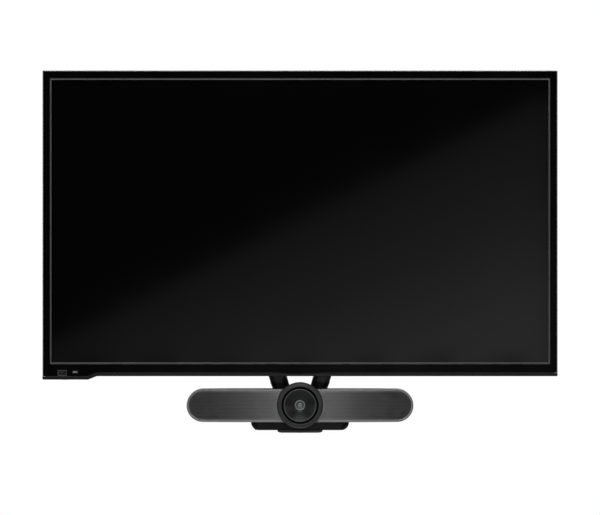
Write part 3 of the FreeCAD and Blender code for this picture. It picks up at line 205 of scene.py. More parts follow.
def make_materials():
    """One material for each slot of the record, and some for added pieces."""
    made = []
    made.append(
        Material("casing_black", (0.0007, 0.0007, 0.0008), 0.1)
        .vary_colour(14.0, (0.0012, 0.0012, 0.0013)).vary_roughness(22.0, 0.02)
        .grain(1600.0, 0.04, 0.00001).set(Specular_IOR_Level=0.1))
    # The bezel's light grey bevels: a painted highlight along its outer edge; its inner bevels
    # stay dark.
    made.append(
        Material("casing_edge_highlight", (0.21, 0.211, 0.214), 0.3)
        .vary_colour(30.0, (0.25, 0.251, 0.254)).vary_roughness(45.0, 0.06)
        .keep_inside_dark((0.006, 0.006, 0.006), HIGHLIGHT_HALF_WIDTH, HIGHLIGHT_TOP))
    made.append(
        Material("lip_black", (0.0052, 0.0052, 0.0054), 0.3)
        .vary_colour(14.0, (0.0072, 0.0072, 0.0075)).vary_roughness(22.0, 0.05)
        .grain(1600.0, 0.15).set(Specular_IOR_Level=0.12))
    made.append(
        Material("rear_black", (0.012, 0.012, 0.013), 0.55)
        .vary_colour(9.0, (0.018, 0.018, 0.019)).vary_roughness(15.0, 0.07)
        .worn_edges((0.045, 0.045, 0.047)).grain(700.0, 0.55, 0.00012))
    # Its light grey on the eye's rim is a painted highlight.
    made.append(
        Material("trim_grey", (0.04, 0.041, 0.042), 0.38, metallic=0.1)
        .vary_roughness(60.0, 0.05).vary_colour(30.0, (0.05, 0.051, 0.052))
        .grain(2000.0, 0.2))
    made.append(
        Material("screen_glass", (0.0003, 0.0003, 0.0004), 0.08)
        .vary_roughness(7.0, 0.006, 2.0).grain(5200.0, 0.02, 0.00001))
    made.append(
        Material("white_plastic", (0.72, 0.72, 0.71), 0.5)
        .vary_roughness(30.0, 0.08).vary_colour(20.0, (0.66, 0.66, 0.65)))
    made.append(
        Material("clear_plastic", (0.65, 0.7, 0.73), 0.15)
        .vary_roughness(20.0, 0.04).vary_colour(10.0, (0.6, 0.66, 0.7)))
    made.append(
        Material("sheet_steel", (0.42, 0.43, 0.44), 0.35, metallic=1.0)
        .vary_roughness(90.0, 0.1, stretch=(1.0, 1.0, 12.0))
        .vary_colour(18.0, (0.52, 0.53, 0.54)).grain(400.0, 0.15))
    made.append(
        Material("circuit_green", (0.008, 0.06, 0.03), 0.35)
        .vary_colour(420.0, (0.02, 0.1, 0.05)).vary_roughness(250.0, 0.08)
        .grain(900.0, 0.4, 0.0001))
    made.append(
        Material("ribbon", (0.5, 0.3, 0.1), 0.3)
        .vary_colour(800.0, (0.75, 0.55, 0.25), stretch=(1.0, 0.02, 0.02))
        .vary_roughness(60.0, 0.05))
    made.append(
        Material("module_black", (0.016, 0.016, 0.017), 0.45)
        .vary_colour(60.0, (0.024, 0.024, 0.025)).vary_roughness(80.0, 0.08)
        .grain(1500.0, 0.3))
    made.append(
        Material("window_dark", (0.004, 0.004, 0.005), 0.12)
        .vary_colour(240.0, (0.009, 0.009, 0.01)).vary_roughness(120.0, 0.04)
        .set(Coat_Weight=0.6))
    made.append(
        Material("led_lens", (0.16, 0.163, 0.17), 0.3)
        .vary_colour(500.0, (0.12, 0.122, 0.128)).vary_roughness(300.0, 0.06))
    made.append(
        Material("socket_black", (0.01, 0.01, 0.01), 0.5)
        .vary_colour(90.0, (0.017, 0.017, 0.017)).vary_roughness(110.0, 0.08)
        .worn_edges((0.04, 0.04, 0.04)).grain(1400.0, 0.3))
    made.append(
        Material("screw_steel", (0.2, 0.2, 0.21), 0.32, metallic=1.0)
        .vary_roughness(700.0, 0.1).vary_colour(300.0, (0.3, 0.3, 0.31))
        .worn_edges((0.5, 0.5, 0.5), 0.7))
    made.append(
        Material("arm_steel", (0.011, 0.011, 0.0116), 0.36)
        .vary_colour(26.0, (0.016, 0.016, 0.0166)).vary_roughness(40.0, 0.06)
        .worn_edges((0.07, 0.07, 0.072), 0.6).grain(900.0, 0.7, 0.00012)
        .set(Specular_IOR_Level=0.12))
    made.append(
        Material("pad_rubber", (0.008, 0.008, 0.008), 0.75)
        .vary_colour(60.0, (0.014, 0.014, 0.014)).vary_roughness(60.0, 0.08)
        .grain(1100.0, 0.6, 0.0001))
    made.append(
        Material("bar_black", (0.0018, 0.0019, 0.0019), 0.3)
        .vary_colour(16.0, (0.0028, 0.0029, 0.0029)).vary_roughness(24.0, 0.05)
        .worn_edges((0.012, 0.012, 0.012)).grain(1500.0, 0.2).set(Specular_IOR_Level=0.06))
    made.append(
        Material("bar_rim_grey", (0.16, 0.161, 0.164), 0.4, metallic=0.5)
        .vary_colour(36.0, (0.18, 0.181, 0.184)).vary_roughness(60.0, 0.05)
        .worn_edges((0.22, 0.22, 0.22), 0.5).grain(2400.0, 0.15))
    made.append(
        Material("grille_steel", (0.12, 0.12, 0.121), 0.36, metallic=0.95)
        .vary_colour(48.0, (0.135, 0.135, 0.136)).vary_roughness(70.0, 0.03)
        .grain(3000.0, 0.2))
    made.append(
        Material("ring_grey", (0.022, 0.0223, 0.0227), 0.36)
        .vary_colour(40.0, (0.027, 0.0273, 0.0278)).vary_roughness(60.0, 0.05)
        .grain(2400.0, 0.2).set(Specular_IOR_Level=0.12))
    made.append(
        Material("eye_black", (0.004, 0.0048, 0.0044), 0.34)
        .vary_colour(70.0, (0.0055, 0.0065, 0.006)).vary_roughness(90.0, 0.06)
        .grain(2600.0, 0.2).set(Specular_IOR_Level=0.2))
    made.append(
        Material("ball_black", (0.003, 0.003, 0.003), 0.4)
        .vary_colour(80.0, (0.0045, 0.0045, 0.0045)).vary_roughness(90.0, 0.06)
        .grain(2600.0, 0.2).set(Specular_IOR_Level=0.25))
    # It also colours the ring on the front lens, a painted reflection.
    made.append(
        Material("lens_silver", (0.1, 0.11, 0.107), 0.38, metallic=0.2)
        .vary_colour(300.0, (0.12, 0.131, 0.128)).vary_roughness(320.0, 0.05))
    made.append(
        Material("lens_clear", (0.012, 0.016, 0.017), 0.06, ior=1.6)
        .vary_colour(160.0, (0.018, 0.023, 0.025)).vary_roughness(60.0, 0.015)
        .set(Coat_Weight=1.0, Coat_Roughness=0.03))
    made.append(
        Material("cloth_black", (0.006, 0.006, 0.006), 0.9)
        .vary_colour(900.0, (0.012, 0.012, 0.012)).grain(2400.0, 0.8, 0.0002))
    made.append(
        Material("contact_gold", (0.75, 0.52, 0.2), 0.28, metallic=1.0)
        .vary_roughness(500.0, 0.08).vary_colour(300.0, (0.62, 0.42, 0.16)))
    made.append(
        Material("label_silver", (0.32, 0.33, 0.34), 0.4, metallic=0.6)
        .vary_colour(40.0, (0.38, 0.385, 0.395)).vary_roughness(80.0, 0.08)
        .grain(900.0, 0.15))
    return {item.name: item.material for item in made}


MATERIALS = make_materials()


# ---------------------------------------------------------------- mesh helpers
def finish_piece(mesh, name, material, body, smooth=True):
    """Turns a bmesh into a piece that rides on a body."""
    bmesh.ops.remove_doubles(mesh, verts=mesh.verts, dist=1e-7)
    bmesh.ops.recalc_face_normals(mesh, faces=mesh.faces)
    data = bpy.data.meshes.new(name)
    mesh.to_mesh(data)
    mesh.free()
    piece = bpy.data.objects.new(name, data)
    bpy.context.scene.collection.objects.link(piece)
    data.materials.append(MATERIALS[material])
    for face in data.polygons:
        face.use_smooth = smooth
    if smooth:
        add_modifier(piece, "EDGE_SPLIT", split_angle=math.radians(38))
    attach(piece, body)
    return piece


def add_modifier(target, kind, **settings):
    modifier = target.modifiers.new(kind.lower(), kind)
    for name, setting in settings.items():
        setattr(modifier, name, setting)


def lathe(mesh, centre, profile, turns, closed):
    """Turns a profile of (radius, distance forward) round the -Y axis through centre."""
    rings = []
    for radius, forward in profile:
        if radius < 1e-9:
            rings.append([mesh.verts.new((centre[0], centre[1] - forward, centre[2]))])
            continue
        ring = []
        for step in range(turns):
            angle = 2 * math.pi * step / turns
            ring.append(mesh.verts.new((centre[0] + radius * math.cos(angle),
                                        centre[1] - forward,
                                        centre[2] + radius * math.sin(angle))))
        rings.append(ring)
    pairs = list(zip(rings, rings[1:]))
    if closed:
        pairs.append((rings[-1], rings[0]))
    for near, far in pairs:
        for step in range(turns):
            following = (step + 1) % turns
            if len(near) == 1 and len(far) == 1:
                continue
            if len(near) == 1:
                mesh.faces.new((near[0], far[following], far[step]))
            elif len(far) == 1:
                mesh.faces.new((near[step], near[following], far[0]))
            else:
                mesh.faces.new((near[step], near[following], far[following], far[step]))


def arc(centre_radius, centre_forward, radius, start, end, steps):
    """Profile points on an arc; angles in degrees, 0 outward and 90 forward."""
    points = []
    for step in range(steps + 1):
        angle = math.radians(start + (end - start) * step / steps)
        points.append((centre_radius + radius * math.cos(angle),
                       centre_forward + radius * math.sin(angle)))
    return points


def prism(mesh, outline, low, high):
    """A closed solid from an outline of (x, z) points between two y planes."""
    front = [mesh.verts.new((x, low, z)) for x, z in outline]
    back = [mesh.verts.new((x, high, z)) for x, z in outline]
    mesh.faces.new(front)
    mesh.faces.new(list(reversed(back)))
    for index in range(len(outline)):
        following = (index + 1) % len(outline)
        mesh.faces.new((front[index], back[index], back[following], front[following]))


def rounded_outline(centre_x, centre_z, width, height, radius, steps=6):
    """A rounded rectangle of (x, z) points."""
    points = []
    for quarter, (x_sign, z_sign) in enumerate(((1, 1), (-1, 1), (-1, -1), (1, -1))):
        for step in range(steps + 1):
            angle = math.radians(90 * quarter + 90 * step / steps)
            points.append((centre_x + x_sign * (width / 2 - radius) + radius * math.cos(angle),
                           centre_z + z_sign * (height / 2 - radius) + radius * math.sin(angle)))
    return points


# ---------------------------------------------------------------- carried-over parts
def dress(node, material, bevel, edge):
    """Gives a CAD node its material and, where it has sharp edges, small bevels."""
    part = frame["nodes"][node]
    part.data.materials.clear()
    part.data.materials.append(MATERIALS[material])
    if edge is not None:
        part.data.materials.append(MATERIALS[edge])
    if bevel:
        add_modifier(part, "WELD", merge_threshold=1e-6)
        add_modifier(part, "BEVEL", width=bevel, segments=2, limit_method="ANGLE",
                     angle_limit=math.radians(35), harden_normals=False,
                     use_clamp_overlap=node not in UNCLAMPED,
                     material=-1 if edge is None else 1)
        add_modifier(part, "WEIGHTED_NORMAL", keep_sharp=True)


# Bevel widths, in millimetres.
BEVELS = {
    "front_bezel": 1.2, "bottom_trim": 0.7, "rear_cover": 0.8, "power_button": 0.5,
    "screen_trim": 0.3, "arm_left": 0.9, "arm_right": 0.9, "mount_plate": 0.4,
    "camera_shelf": 0.4, "shelf_pad": 0.3, "base_body": 2.2, "bar_rear_housing": 1.6,
    "bar_frame_left": 0.9, "bar_frame_right": 0.9,
    "vesa_standoffs": 0.5, "arm_pivot_bolts": 0.6, "thumbscrew": 0.35, "jack_panel": 0.3,
    "power_inlet": 0.3, "bar_ports": 0.3, "sensor_window": 0.3, "status_led": 0.2,
}

# Nodes whose bevels keep their full width beside short edges.
UNCLAMPED = ("front_bezel", "bottom_trim", "arm_left", "arm_right", "base_body")

# Materials that are given to a node's bevels alone. The bezel's light grey bevels are a painted
# highlight.
EDGE_MATERIALS = {"front_bezel": "casing_edge_highlight", "sensor_window": "trim_grey"}

# Nodes that look unlike the rest of their slot.
OTHER_MATERIALS = {"rear_cover": "rear_black", "bottom_trim": "lip_black"}


def dress_cad_parts():
    """Gives each CAD node the material of its slot, or the one listed for it."""
    for row in frame["record"]["subparts"]:
        node = row["node"]
        material = OTHER_MATERIALS.get(node, row["material_slot"])
        dress(node, material, BEVELS.get(node, 0.0) * MM, EDGE_MATERIALS.get(node))


# ---------------------------------------------------------------- camera bar
BAR_WIDTH = 403.2 * MM
BAR_HEIGHT = 58.5 * MM
BAR_MIDDLE = -323.6 * MM
BAR_FRONT = 98 * MM
BAR_CURVE_RADIUS = 960 * MM
FRAME_RIM = 4 * MM
GRILLE_SETBACK = 1 * MM
HOLE_PITCH = 2.4 * MM
HOLE_RADIUS = 0.72 * MM
GRILLE_THICK = 1.0 * MM
CLOTH_GAP = 1.6 * MM
CLOTH_THICK = 0.4 * MM
# The cloth starts at this share of half the bar's width. That is inside the ring, so
# into_grille moves its first points out to the ring's edge.
CLOTH_START = 0.12

EYE = Vector((0.0, -102 * MM, -322.2 * MM))
RING_RADIUS = 40.8 * MM
RING_GAP = 0.4 * MM


def bar_surface(x, setback):
    """The y of the bar's curved front at x, a given distance behind its outer face."""
    radius = BAR_CURVE_RADIUS - setback
    return BAR_CURVE_RADIUS - BAR_FRONT - math.sqrt(radius * radius - x * x)


def into_grille(x, z, shrink=0.0):
    """Moves a point of the bar's front view onto the grille if it lies outside it."""
    radius = BAR_HEIGHT / 2 - FRAME_RIM - shrink
    end = (BAR_WIDTH - BAR_HEIGHT) / 2
    nearest = max(-end, min(end, x))
    away = math.hypot(x - nearest, z)
    if away > radius:
        x = nearest + (x - nearest) * radius / away
        z = z * radius / away
    gap = RING_RADIUS + RING_GAP + shrink
    eye_z = EYE.z - BAR_MIDDLE
    from_eye = math.hypot(x, z - eye_z)
    if from_eye < gap:
        x, z = x * gap / from_eye, eye_z + (z - eye_z) * gap / from_eye
    return x, z


def is_in_grille(x, z, shrink):
    """Whether a point lies on the grille and at least `shrink` away from its outline."""
    moved_x, moved_z = into_grille(x, z, shrink)
    return math.hypot(moved_x - x, moved_z - z) < 1e-9


def make_grille(name, side):
    """A curved steel sheet with staggered rows of round holes."""
    mesh = bmesh.new()
    rows = int((BAR_HEIGHT / 2) / HOLE_PITCH) + 1
    columns = int((BAR_WIDTH / 2) / HOLE_PITCH) + 2
    corners = ((1, 0), (1, 1), (0, 1), (-1, 1), (-1, 0), (-1, -1), (0, -1), (1, -1))
    first_column = int(RING_RADIUS * 0.6 / HOLE_PITCH)
    for row in range(-rows, rows + 1):
        centre_z = row * HOLE_PITCH
        shift = 0.5 * HOLE_PITCH * (row % 2)
        for column in range(first_column, columns):
            centre_x = side * (column * HOLE_PITCH + shift)
            # Cells that lie mostly outside the outline are left out.
            if not is_in_grille(centre_x, centre_z, -0.3 * HOLE_PITCH):
                continue
            edge = []
            for dx, dz in corners:
                x, z = into_grille(centre_x + dx * HOLE_PITCH / 2, centre_z + dz * HOLE_PITCH / 2)
                edge.append(mesh.verts.new((x, bar_surface(x, GRILLE_SETBACK), BAR_MIDDLE + z)))
            # Cells close to the outline have no hole.
            if not is_in_grille(centre_x, centre_z, 0.62 * HOLE_PITCH):
                mesh.faces.new(edge)
                continue
            front, back = [], []
            for index in range(8):
                angle = math.pi * index / 4
                x = centre_x + HOLE_RADIUS * math.cos(angle)
                z = centre_z + HOLE_RADIUS * math.sin(angle)
                y = bar_surface(x, GRILLE_SETBACK)
                front.append(mesh.verts.new((x, y, BAR_MIDDLE + z)))
                back.append(mesh.verts.new((x, y + GRILLE_THICK, BAR_MIDDLE + z)))
            for index in range(8):
                following = (index + 1) % 8
                mesh.faces.new((edge[index], edge[following], front[following], front[index]))
                mesh.faces.new((front[index], front[following], back[following], back[index]))
    piece = finish_piece(mesh, f"grille_sheet_{name}", "grille_steel", "camera_bar")
    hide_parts(f"speaker_grille_{name}")


def make_grille_cloth(name, side):
    """The black cloth close behind a grille."""
    mesh = bmesh.new()
    columns, rows = 60, 12
    grid = []
    for column in range(columns + 1):
        line = []
        for row in range(rows + 1):
            along = CLOTH_START + (1 - CLOTH_START) * column / columns
            x, z = into_grille(side * BAR_WIDTH / 2 * along,
                               BAR_HEIGHT * (row / rows - 0.5), 0.2 * MM)
            line.append(mesh.verts.new((x, bar_surface(x, GRILLE_SETBACK + CLOTH_GAP),
                                        BAR_MIDDLE + z)))
        grid.append(line)
    for column in range(columns):
        for row in range(rows):
            mesh.faces.new((grid[column][row], grid[column + 1][row],
                            grid[column + 1][row + 1], grid[column][row + 1]))
    piece = finish_piece(mesh, f"grille_cloth_{name}", "cloth_black", "camera_bar")
    add_modifier(piece, "SOLIDIFY", thickness=CLOTH_THICK, offset=-1.0)


def turned_piece(name, profile, material, body, turns=192, closed=True):
    """A piece turned round the eye's axis from a profile in millimetres."""
    mesh = bmesh.new()
    lathe(mesh, EYE, [(radius * MM, forward * MM) for radius, forward in profile],
          turns, closed)
    return finish_piece(mesh, name, material, body)


def make_camera_ring():
    """The round bezel: a crown that rounds back from the eye to its outer edge."""
    crown_start, crown_front = 33.3, 15.95
    crown_width, crown_fall, crown_steps = 7.5, 9.0, 24
    outer = crown_start + crown_width
    profile = [(38.8, 0.0), (38.6, 3.0), (34.2, 6.0), (32.75, 8.0)]
    profile += arc(33.35, 15.35, 0.6, 180, 90, 6)
    for step in range(1, crown_steps + 1):
        angle = math.radians(90 * step / crown_steps)
        profile.append((crown_start + crown_width * math.sin(angle),
                        crown_front - crown_fall * (1 - math.cos(angle))))
    # A fine groove runs round the ring's side.
    groove = 40.4
    profile += [(outer, 6.2), (groove, 5.9), (groove, 5.3), (outer, 5.0), (outer, 0.0)]
    piece = turned_piece("camera_bezel", profile, "ring_grey", "camera_bar")
    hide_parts("camera_ring")


def make_eye_ball():
    """The ball-shaped shell, open at the front and at the back."""
    radius, face_forward = 33.0, 16.2
    face_angle = math.degrees(math.asin(face_forward / radius))
    profile = [(29.0, -9.6)] + arc(0.0, 0.0, radius, -17.6, face_angle, 40)
    profile += [(28.6, 14.6), (30.4, 10.0), (30.4, -9.0)]
    piece = turned_piece("eye_ball", profile, "ball_black", "eye")
    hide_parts("eye_shell")


def make_eye_face():
    """The rim round the face, in a lighter grey that is a painted highlight, and the funnel that
    dips from it to the lens.
    """
    rim = arc(28.1, 15.8, 0.8, -10, 150, 14) + [(27.3, 15.4), (28.6, 14.8)]
    turned_piece("eye_rim", rim, "trim_grey", "eye")
    funnel = [(27.35 - 13.1 * t, 15.7 - 6.2 * (1 - (1 - t) ** 1.1)) for t in
              [step / 20 for step in range(21)]]
    funnel += [(14.05, 8.95), (13.0, 8.95), (12.9, 9.1), (9.5, 8.5)]
    # The back keeps clear of the pan motor and the gimbal bracket at full tilt.
    funnel += [(9.5, 7.5), (12.6, 7.9), (14.4, 8.8), (27.3, 15.3)]
    turned_piece("eye_funnel", funnel, "eye_black", "eye")


LENS_RADIUS = 6.45


def dome_height(radius):
    """How far forward the lens's domed front lies, in millimetres."""
    return 9.3 - 1.5 * (radius / LENS_RADIUS) ** 2


def make_lens():
    """The rings of the barrel, the domed front lens, and the light ring on it, which is a painted
    reflection.
    """
    barrel = [(9.3, 7.2), (9.3, 9.2)] + arc(8.6, 9.3, 0.7, 0, 90, 6)
    barrel += [(7.6, 9.6)] + arc(7.3, 9.2, 0.4, 60, 180, 6)
    barrel += [(6.9, 8.4), (6.5, 8.2), (6.5, -7.8), (10.0, -7.8), (10.0, 7.2)]
    piece = turned_piece("lens_rings", barrel, "lens_silver", "eye", turns=128)
    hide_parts("lens_barrel")

    radii = [LENS_RADIUS * step / 16 for step in range(17)]
    dome = [(radius, dome_height(radius)) for radius in radii]
    dome += [(LENS_RADIUS, 6.2), (0.0, 6.2)]
    piece = turned_piece("lens_front", dome, "lens_clear", "eye", turns=96,
                         closed=False)
    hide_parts("lens_glass")

    # A thin silver ring on the lens's front surface: a painted reflection.
    inner, outer = 1.7, 4.6
    radii = [inner + (outer - inner) * step / 8 for step in range(9)]
    reflection_ring = [(radius, dome_height(radius) + 0.12) for radius in radii]
    reflection_ring += [(outer, dome_height(outer) - 0.2), (inner, dome_height(inner) - 0.2)]
    turned_piece("lens_reflection_ring", reflection_ring, "lens_silver", "eye", turns=96)


# ---------------------------------------------------------------- fasteners and sockets
SCREW_RADIUS = 3.8 * MM
SCREW_HEIGHT = 2.0 * MM


def add_screw_head(mesh, x, z, seat):
    """A domed head with a cross recess, seated on the plane y = seat."""
    turns, arm, half = 24, 2.1 * MM, 0.5 * MM
    levels = ((SCREW_RADIUS, 0.0), (SCREW_RADIUS, 0.9 * MM), (0.92 * SCREW_RADIUS, 1.5 * MM),
              (0.72 * SCREW_RADIUS, SCREW_HEIGHT))
    rings = [[mesh.verts.new((x + radius * math.cos(2 * math.pi * step / turns),
                              seat + height,
                              z + radius * math.sin(2 * math.pi * step / turns)))
              for step in range(turns)] for radius, height in levels]
    for near, far in zip(rings, rings[1:]):
        for step in range(turns):
            following = (step + 1) % turns
            mesh.faces.new((near[step], near[following], far[following], far[step]))
    cross = [(arm, half), (half, half), (half, arm), (-half, arm), (-half, half), (-arm, half),
             (-arm, -half), (-half, -half), (-half, -arm), (half, -arm), (half, -half),
             (arm, -half)]
    top = [mesh.verts.new((x + a, seat + SCREW_HEIGHT, z + b)) for a, b in cross]
    pit = [mesh.verts.new((x + 0.7 * a, seat + 0.7 * MM, z + 0.7 * b))
           for a, b in cross]
    loops = [mesh.edges.get((top[i], top[(i + 1) % 12])) or
             mesh.edges.new((top[i], top[(i + 1) % 12])) for i in range(12)]
    loops += [mesh.edges.get((rings[-1][i], rings[-1][(i + 1) % turns])) for i in range(turns)]
    bmesh.ops.triangle_fill(mesh, edges=loops, use_beauty=True)
    for index in range(12):
        following = (index + 1) % 12
        mesh.faces.new((top[index], top[following], pit[following], pit[index]))
    mesh.faces.new(pit)


def make_screws(node, body, spots, seat):
    """Detailed heads that take the place of a CAD node's plain screws."""
    mesh = bmesh.new()
    for x, z in spots:
        add_screw_head(mesh, x, z, seat)
    piece = finish_piece(mesh, node + "_heads", "screw_steel", body,
                         smooth=False)
    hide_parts(node)


def make_all_screws():
    """The screws round the rear cover, and the four behind the bar."""
    low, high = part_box("rear_cover_screws")
    side = high[0] - SCREW_RADIUS
    top = high[2] - SCREW_RADIUS
    bottom = low[2] + SCREW_RADIUS
    spots = [(x, z * MM) for x in (-side, side) for z in (-180, 0, 180)]
    spots += [(x * MM, top) for x in (-300, 0, 300)] + [(x * MM, bottom) for x in (-180, 180)]
    make_screws("rear_cover_screws", "display", spots, high[1] - SCREW_HEIGHT)
    low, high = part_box("bar_screws")
    inset = SCREW_RADIUS
    spots = [(x, z) for x in (low[0] + inset, high[0] - inset)
             for z in (low[2] + inset, high[2] - inset)]
    make_screws("bar_screws", "camera_bar", spots, high[1] - SCREW_HEIGHT)


# Sockets as (x, z, width, height), in millimetres from the node's lowest x and z.
JACKS = ((8, 6, 15, 6), (8, 20, 15, 6), (34, 6, 15, 6), (34, 20, 14, 7), (64, 10, 15, 12))
BAR_JACKS = ((5, 7, 15, 6), (28, 8.3, 9, 3.4), (45, 4, 15, 12))


def make_jacks(node, body, jacks):
    """Metal shells inside the socket cavities, each with a tongue and gold contacts."""
    low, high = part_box(node)
    shells, tongues, contacts = bmesh.new(), bmesh.new(), bmesh.new()
    mouth = high[1] - 0.3 * MM
    back = high[1] - 10.5 * MM
    wall = 0.35 * MM
    for x, z, width, height in jacks:
        left, bottom = low[0] + x * MM, low[2] + z * MM
        right, top = left + width * MM, bottom + height * MM
        for x0, x1, z0, z1 in ((left, left + wall, bottom, top),
                               (right - wall, right, bottom, top),
                               (left, right, bottom, bottom + wall),
                               (left, right, top - wall, top)):
            prism(shells, [(x0, z0), (x1, z0), (x1, z1), (x0, z1)], back, mouth)
        middle = (bottom + top) / 2 if height < 10 else top - 3.2 * MM
        reach = 0.16 * width * MM
        prism(tongues, [(left + reach, middle - 0.6 * MM), (right - reach, middle - 0.6 * MM),
                        (right - reach, middle + 0.6 * MM), (left + reach, middle + 0.6 * MM)],
              back, mouth - 2.0 * MM)
        count = 8
        span = (right - left) - 2 * reach
        for index in range(count):
            start = left + reach + span * (index + 0.3) / count
            end = start + 0.4 * span / count
            prism(contacts, [(start, middle - 0.72 * MM), (end, middle - 0.72 * MM),
                             (end, middle - 0.55 * MM), (start, middle - 0.55 * MM)],
                  back + 0.5 * MM, mouth - 2.4 * MM)
    finish_piece(shells, node + "_shells", "sheet_steel", body, smooth=False)
    finish_piece(tongues, node + "_tongues", "socket_black", body, smooth=False)
    finish_piece(contacts, node + "_contacts", "contact_gold", body,
                 smooth=False)


def make_inlet_blades():
    """The three upright blades inside the mains inlet."""
    low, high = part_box("power_inlet")
    mesh = bmesh.new()
    for x, z in ((14, 13), (21, 19), (28, 13)):
        left, bottom = low[0] + x * MM - 0.1 * MM, low[2] + z * MM - 0.1 * MM
        outline = rounded_outline(left + 1.1 * MM, bottom + 2.1 * MM, 2.2 * MM, 4.2 * MM,
                                  0.4 * MM, steps=3)
        prism(mesh, outline, high[1] - 20 * MM, high[1] - 11.2 * MM)
    finish_piece(mesh, "inlet_blades", "contact_gold", "display", smooth=False)


def make_rating_plate():
    """A blank plate on the hump's rear face."""
    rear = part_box("rear_cover")[1][1]
    mesh = bmesh.new()
    outline = rounded_outline(0.0, 10 * MM, 96 * MM, 46 * MM, 2.5 * MM)
    prism(mesh, outline, rear - 0.05 * MM, rear + 0.25 * MM)
    finish_piece(mesh, "rating_plate", "label_silver", "display", smooth=False)


# ---------------------------------------------------------------- stage, light, camera
VIEW_DISTANCE = 8.0
VIEW_HEIGHT = -60.8 * MM
VIEW_WIDTH = 1.0665
SENSOR_MM = 36.0
FLOOR_DROP = 0.9
FLOOR_RADIUS = 2.6


def make_floor():
    """A round pale floor well below the object."""
    bottom = cad_box[0][2]
    mesh = bmesh.new()
    bmesh.ops.create_circle(mesh, cap_ends=True, radius=FLOOR_RADIUS, segments=128)
    data = bpy.data.meshes.new("floor")
    mesh.to_mesh(data)
    mesh.free()
    floor = bpy.data.objects.new("floor", data)
    floor.location = (0.0, 0.0, bottom - FLOOR_DROP)
    pale = Material("floor_pale", (0.62, 0.62, 0.62), 0.8).vary_roughness(3.0, 0.05)
    data.materials.append(pale.material)
    bpy.context.scene.collection.objects.link(floor)


def area_light(name, place, target, width, height, power, roll=0.0):
    """A soft rectangular light that the camera doesn't see."""
    light = bpy.data.lights.new(name, "AREA")
    light.shape = "RECTANGLE"
    light.size = width
    light.size_y = height
    light.energy = power
    lamp = bpy.data.objects.new(name, light)
    direction = Vector(target) - Vector(place)
    turn = direction.to_track_quat("-Z", "Y").to_matrix().to_4x4()
    lamp.matrix_world = turn
    lamp.rotation_euler.rotate_axis("Z", roll)
    lamp.location = place
    lamp.visible_camera = False
    bpy.context.scene.collection.objects.link(lamp)


AMBIENT = 0.5


def make_world():
    """White to the camera, a soft grey for matt surfaces, and dark in reflections."""
    world = bpy.data.worlds.new("studio")
    bpy.context.scene.world = world
    world.use_nodes = True
    world.cycles.sampling_method = "NONE"
    nodes, links = world.node_tree.nodes, world.node_tree.links
    nodes.clear()
    path = nodes.new("ShaderNodeLightPath")
    seen = nodes.new("ShaderNodeBackground")
    seen.inputs["Color"].default_value = (1.0, 1.0, 1.0, 1.0)
    ambient = nodes.new("ShaderNodeBackground")
    ambient.inputs["Color"].default_value = (0.55, 0.55, 0.56, 1.0)
    ambient.inputs["Strength"].default_value = AMBIENT
    dark = nodes.new("ShaderNodeBackground")
    dark.inputs["Color"].default_value = (0.012, 0.012, 0.012, 1.0)
    by_gloss = nodes.new("ShaderNodeMixShader")
    by_camera = nodes.new("ShaderNodeMixShader")
    output = nodes.new("ShaderNodeOutputWorld")
    links.new(path.outputs["Is Glossy Ray"], by_gloss.inputs[0])
    links.new(ambient.outputs[0], by_gloss.inputs[1])
    links.new(dark.outputs[0], by_gloss.inputs[2])
    links.new(path.outputs["Is Camera Ray"], by_camera.inputs[0])
    links.new(by_gloss.outputs[0], by_camera.inputs[1])
    links.new(seen.outputs[0], by_camera.inputs[2])
    links.new(by_camera.outputs[0], output.inputs["Surface"])


# Slanted strips of light whose mirror images fill the screen's lower right half. They
# lie side by side, each GLOW_STRIP wide. The upper edge of the first runs through the
# point (x, z) of GLOW_START, and the middle lines end at the height GLOW_FLOOR and at
# the x of GLOW_SIDE.
GLOW_SLOPE = math.radians(26.7)
GLOW_START = (0.0012, 0.0303)
GLOW_STRIP = 0.076
GLOW_FLOOR = -0.335
GLOW_SIDE = 0.625
GLOW_Y = -3.0
GLOW_RADIANCES = (0.11, 0.14, 0.17, 0.22, 0.28, 0.35, 0.4, 0.42)
POWER_PER_RADIANCE = 4.0


def make_glow():
    """The soft reflection in the screen, brighter towards its lower right corner."""
    across, up = math.cos(GLOW_SLOPE), math.sin(GLOW_SLOPE)
    for step, radiance in enumerate(GLOW_RADIANCES):
        below = GLOW_STRIP * (step + 0.5)
        line_x = GLOW_START[0] + below * up
        line_z = GLOW_START[1] - below * across
        start = (GLOW_FLOOR - line_z) / up
        end = (GLOW_SIDE - line_x) / across
        middle = (start + end) / 2
        x = line_x + middle * across
        z = line_z + middle * up
        length = end - start
        power = POWER_PER_RADIANCE * radiance * length * GLOW_STRIP
        area_light(f"glow_{step}", (x, GLOW_Y, z), (x, 0.0, z), length, GLOW_STRIP, power,
                   roll=GLOW_SLOPE)


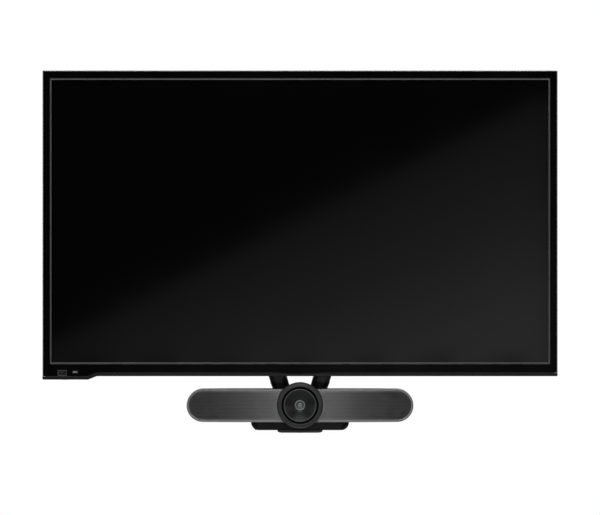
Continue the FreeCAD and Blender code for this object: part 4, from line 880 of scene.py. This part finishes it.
# Each light's name, place, the point it faces, width, height, and power in watts.
STUDIO_LIGHTS = (
    ("top_key", (0.0, -1.5, 2.6), (0.0, -0.1, -0.2), 3.0, 1.0, 80.0),
    ("front_fill", (0.0, -4.4, 1.4), (0.0, -0.1, -0.3), 0.7, 0.5, 34.0),
    ("low_fill", (0.0, -4.4, -0.84), (0.0, -0.1, -0.32), 0.5, 0.3, 14.5),
    ("left_strip", (-3.0, -1.6, 0.6), (-0.1, -0.1, -0.1), 0.8, 2.2, 26.0),
    ("right_strip", (3.0, -1.6, 0.6), (0.1, -0.1, -0.1), 0.8, 2.2, 26.0),
    ("back_key", (1.2, 3.0, 1.8), (0.0, 0.0, -0.1), 2.4, 1.6, 60.0),
    ("back_fill", (-2.4, 2.4, 0.4), (0.0, 0.0, -0.1), 1.2, 2.0, 30.0),
)


def make_lights():
    """Soft light from above and both sides, two small front lights, and two behind."""
    for row in STUDIO_LIGHTS:
        area_light(*row)


def make_camera():
    """A level camera in front of the bezel that takes in VIEW_WIDTH at its face."""
    camera = bpy.data.cameras.new("camera")
    camera.sensor_width = SENSOR_MM
    camera.lens = SENSOR_MM * VIEW_DISTANCE / VIEW_WIDTH
    camera.clip_end = 50.0
    eye = bpy.data.objects.new("camera", camera)
    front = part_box("front_bezel")[0][1]
    eye.location = (0.0, front - VIEW_DISTANCE, VIEW_HEIGHT)
    eye.rotation_euler = (math.radians(90), 0.0, 0.0)
    bpy.context.scene.collection.objects.link(eye)
    bpy.context.scene.camera = eye


def build():
    """Makes the stage, dresses the CAD nodes and adds the detailed pieces."""
    make_camera()
    make_world()
    make_glow()
    make_lights()
    make_floor()
    dress_cad_parts()
    for name, side in SIDES:
        make_grille(name, side)
        make_grille_cloth(name, side)
    make_camera_ring()
    make_eye_ball()
    make_eye_face()
    make_lens()
    make_all_screws()
    make_jacks("jack_panel", "display", JACKS)
    make_jacks("bar_ports", "camera_bar", BAR_JACKS)
    make_inlet_blades()
    make_rating_plate()
    bpy.context.scene.view_settings.view_transform = "Standard"


build()
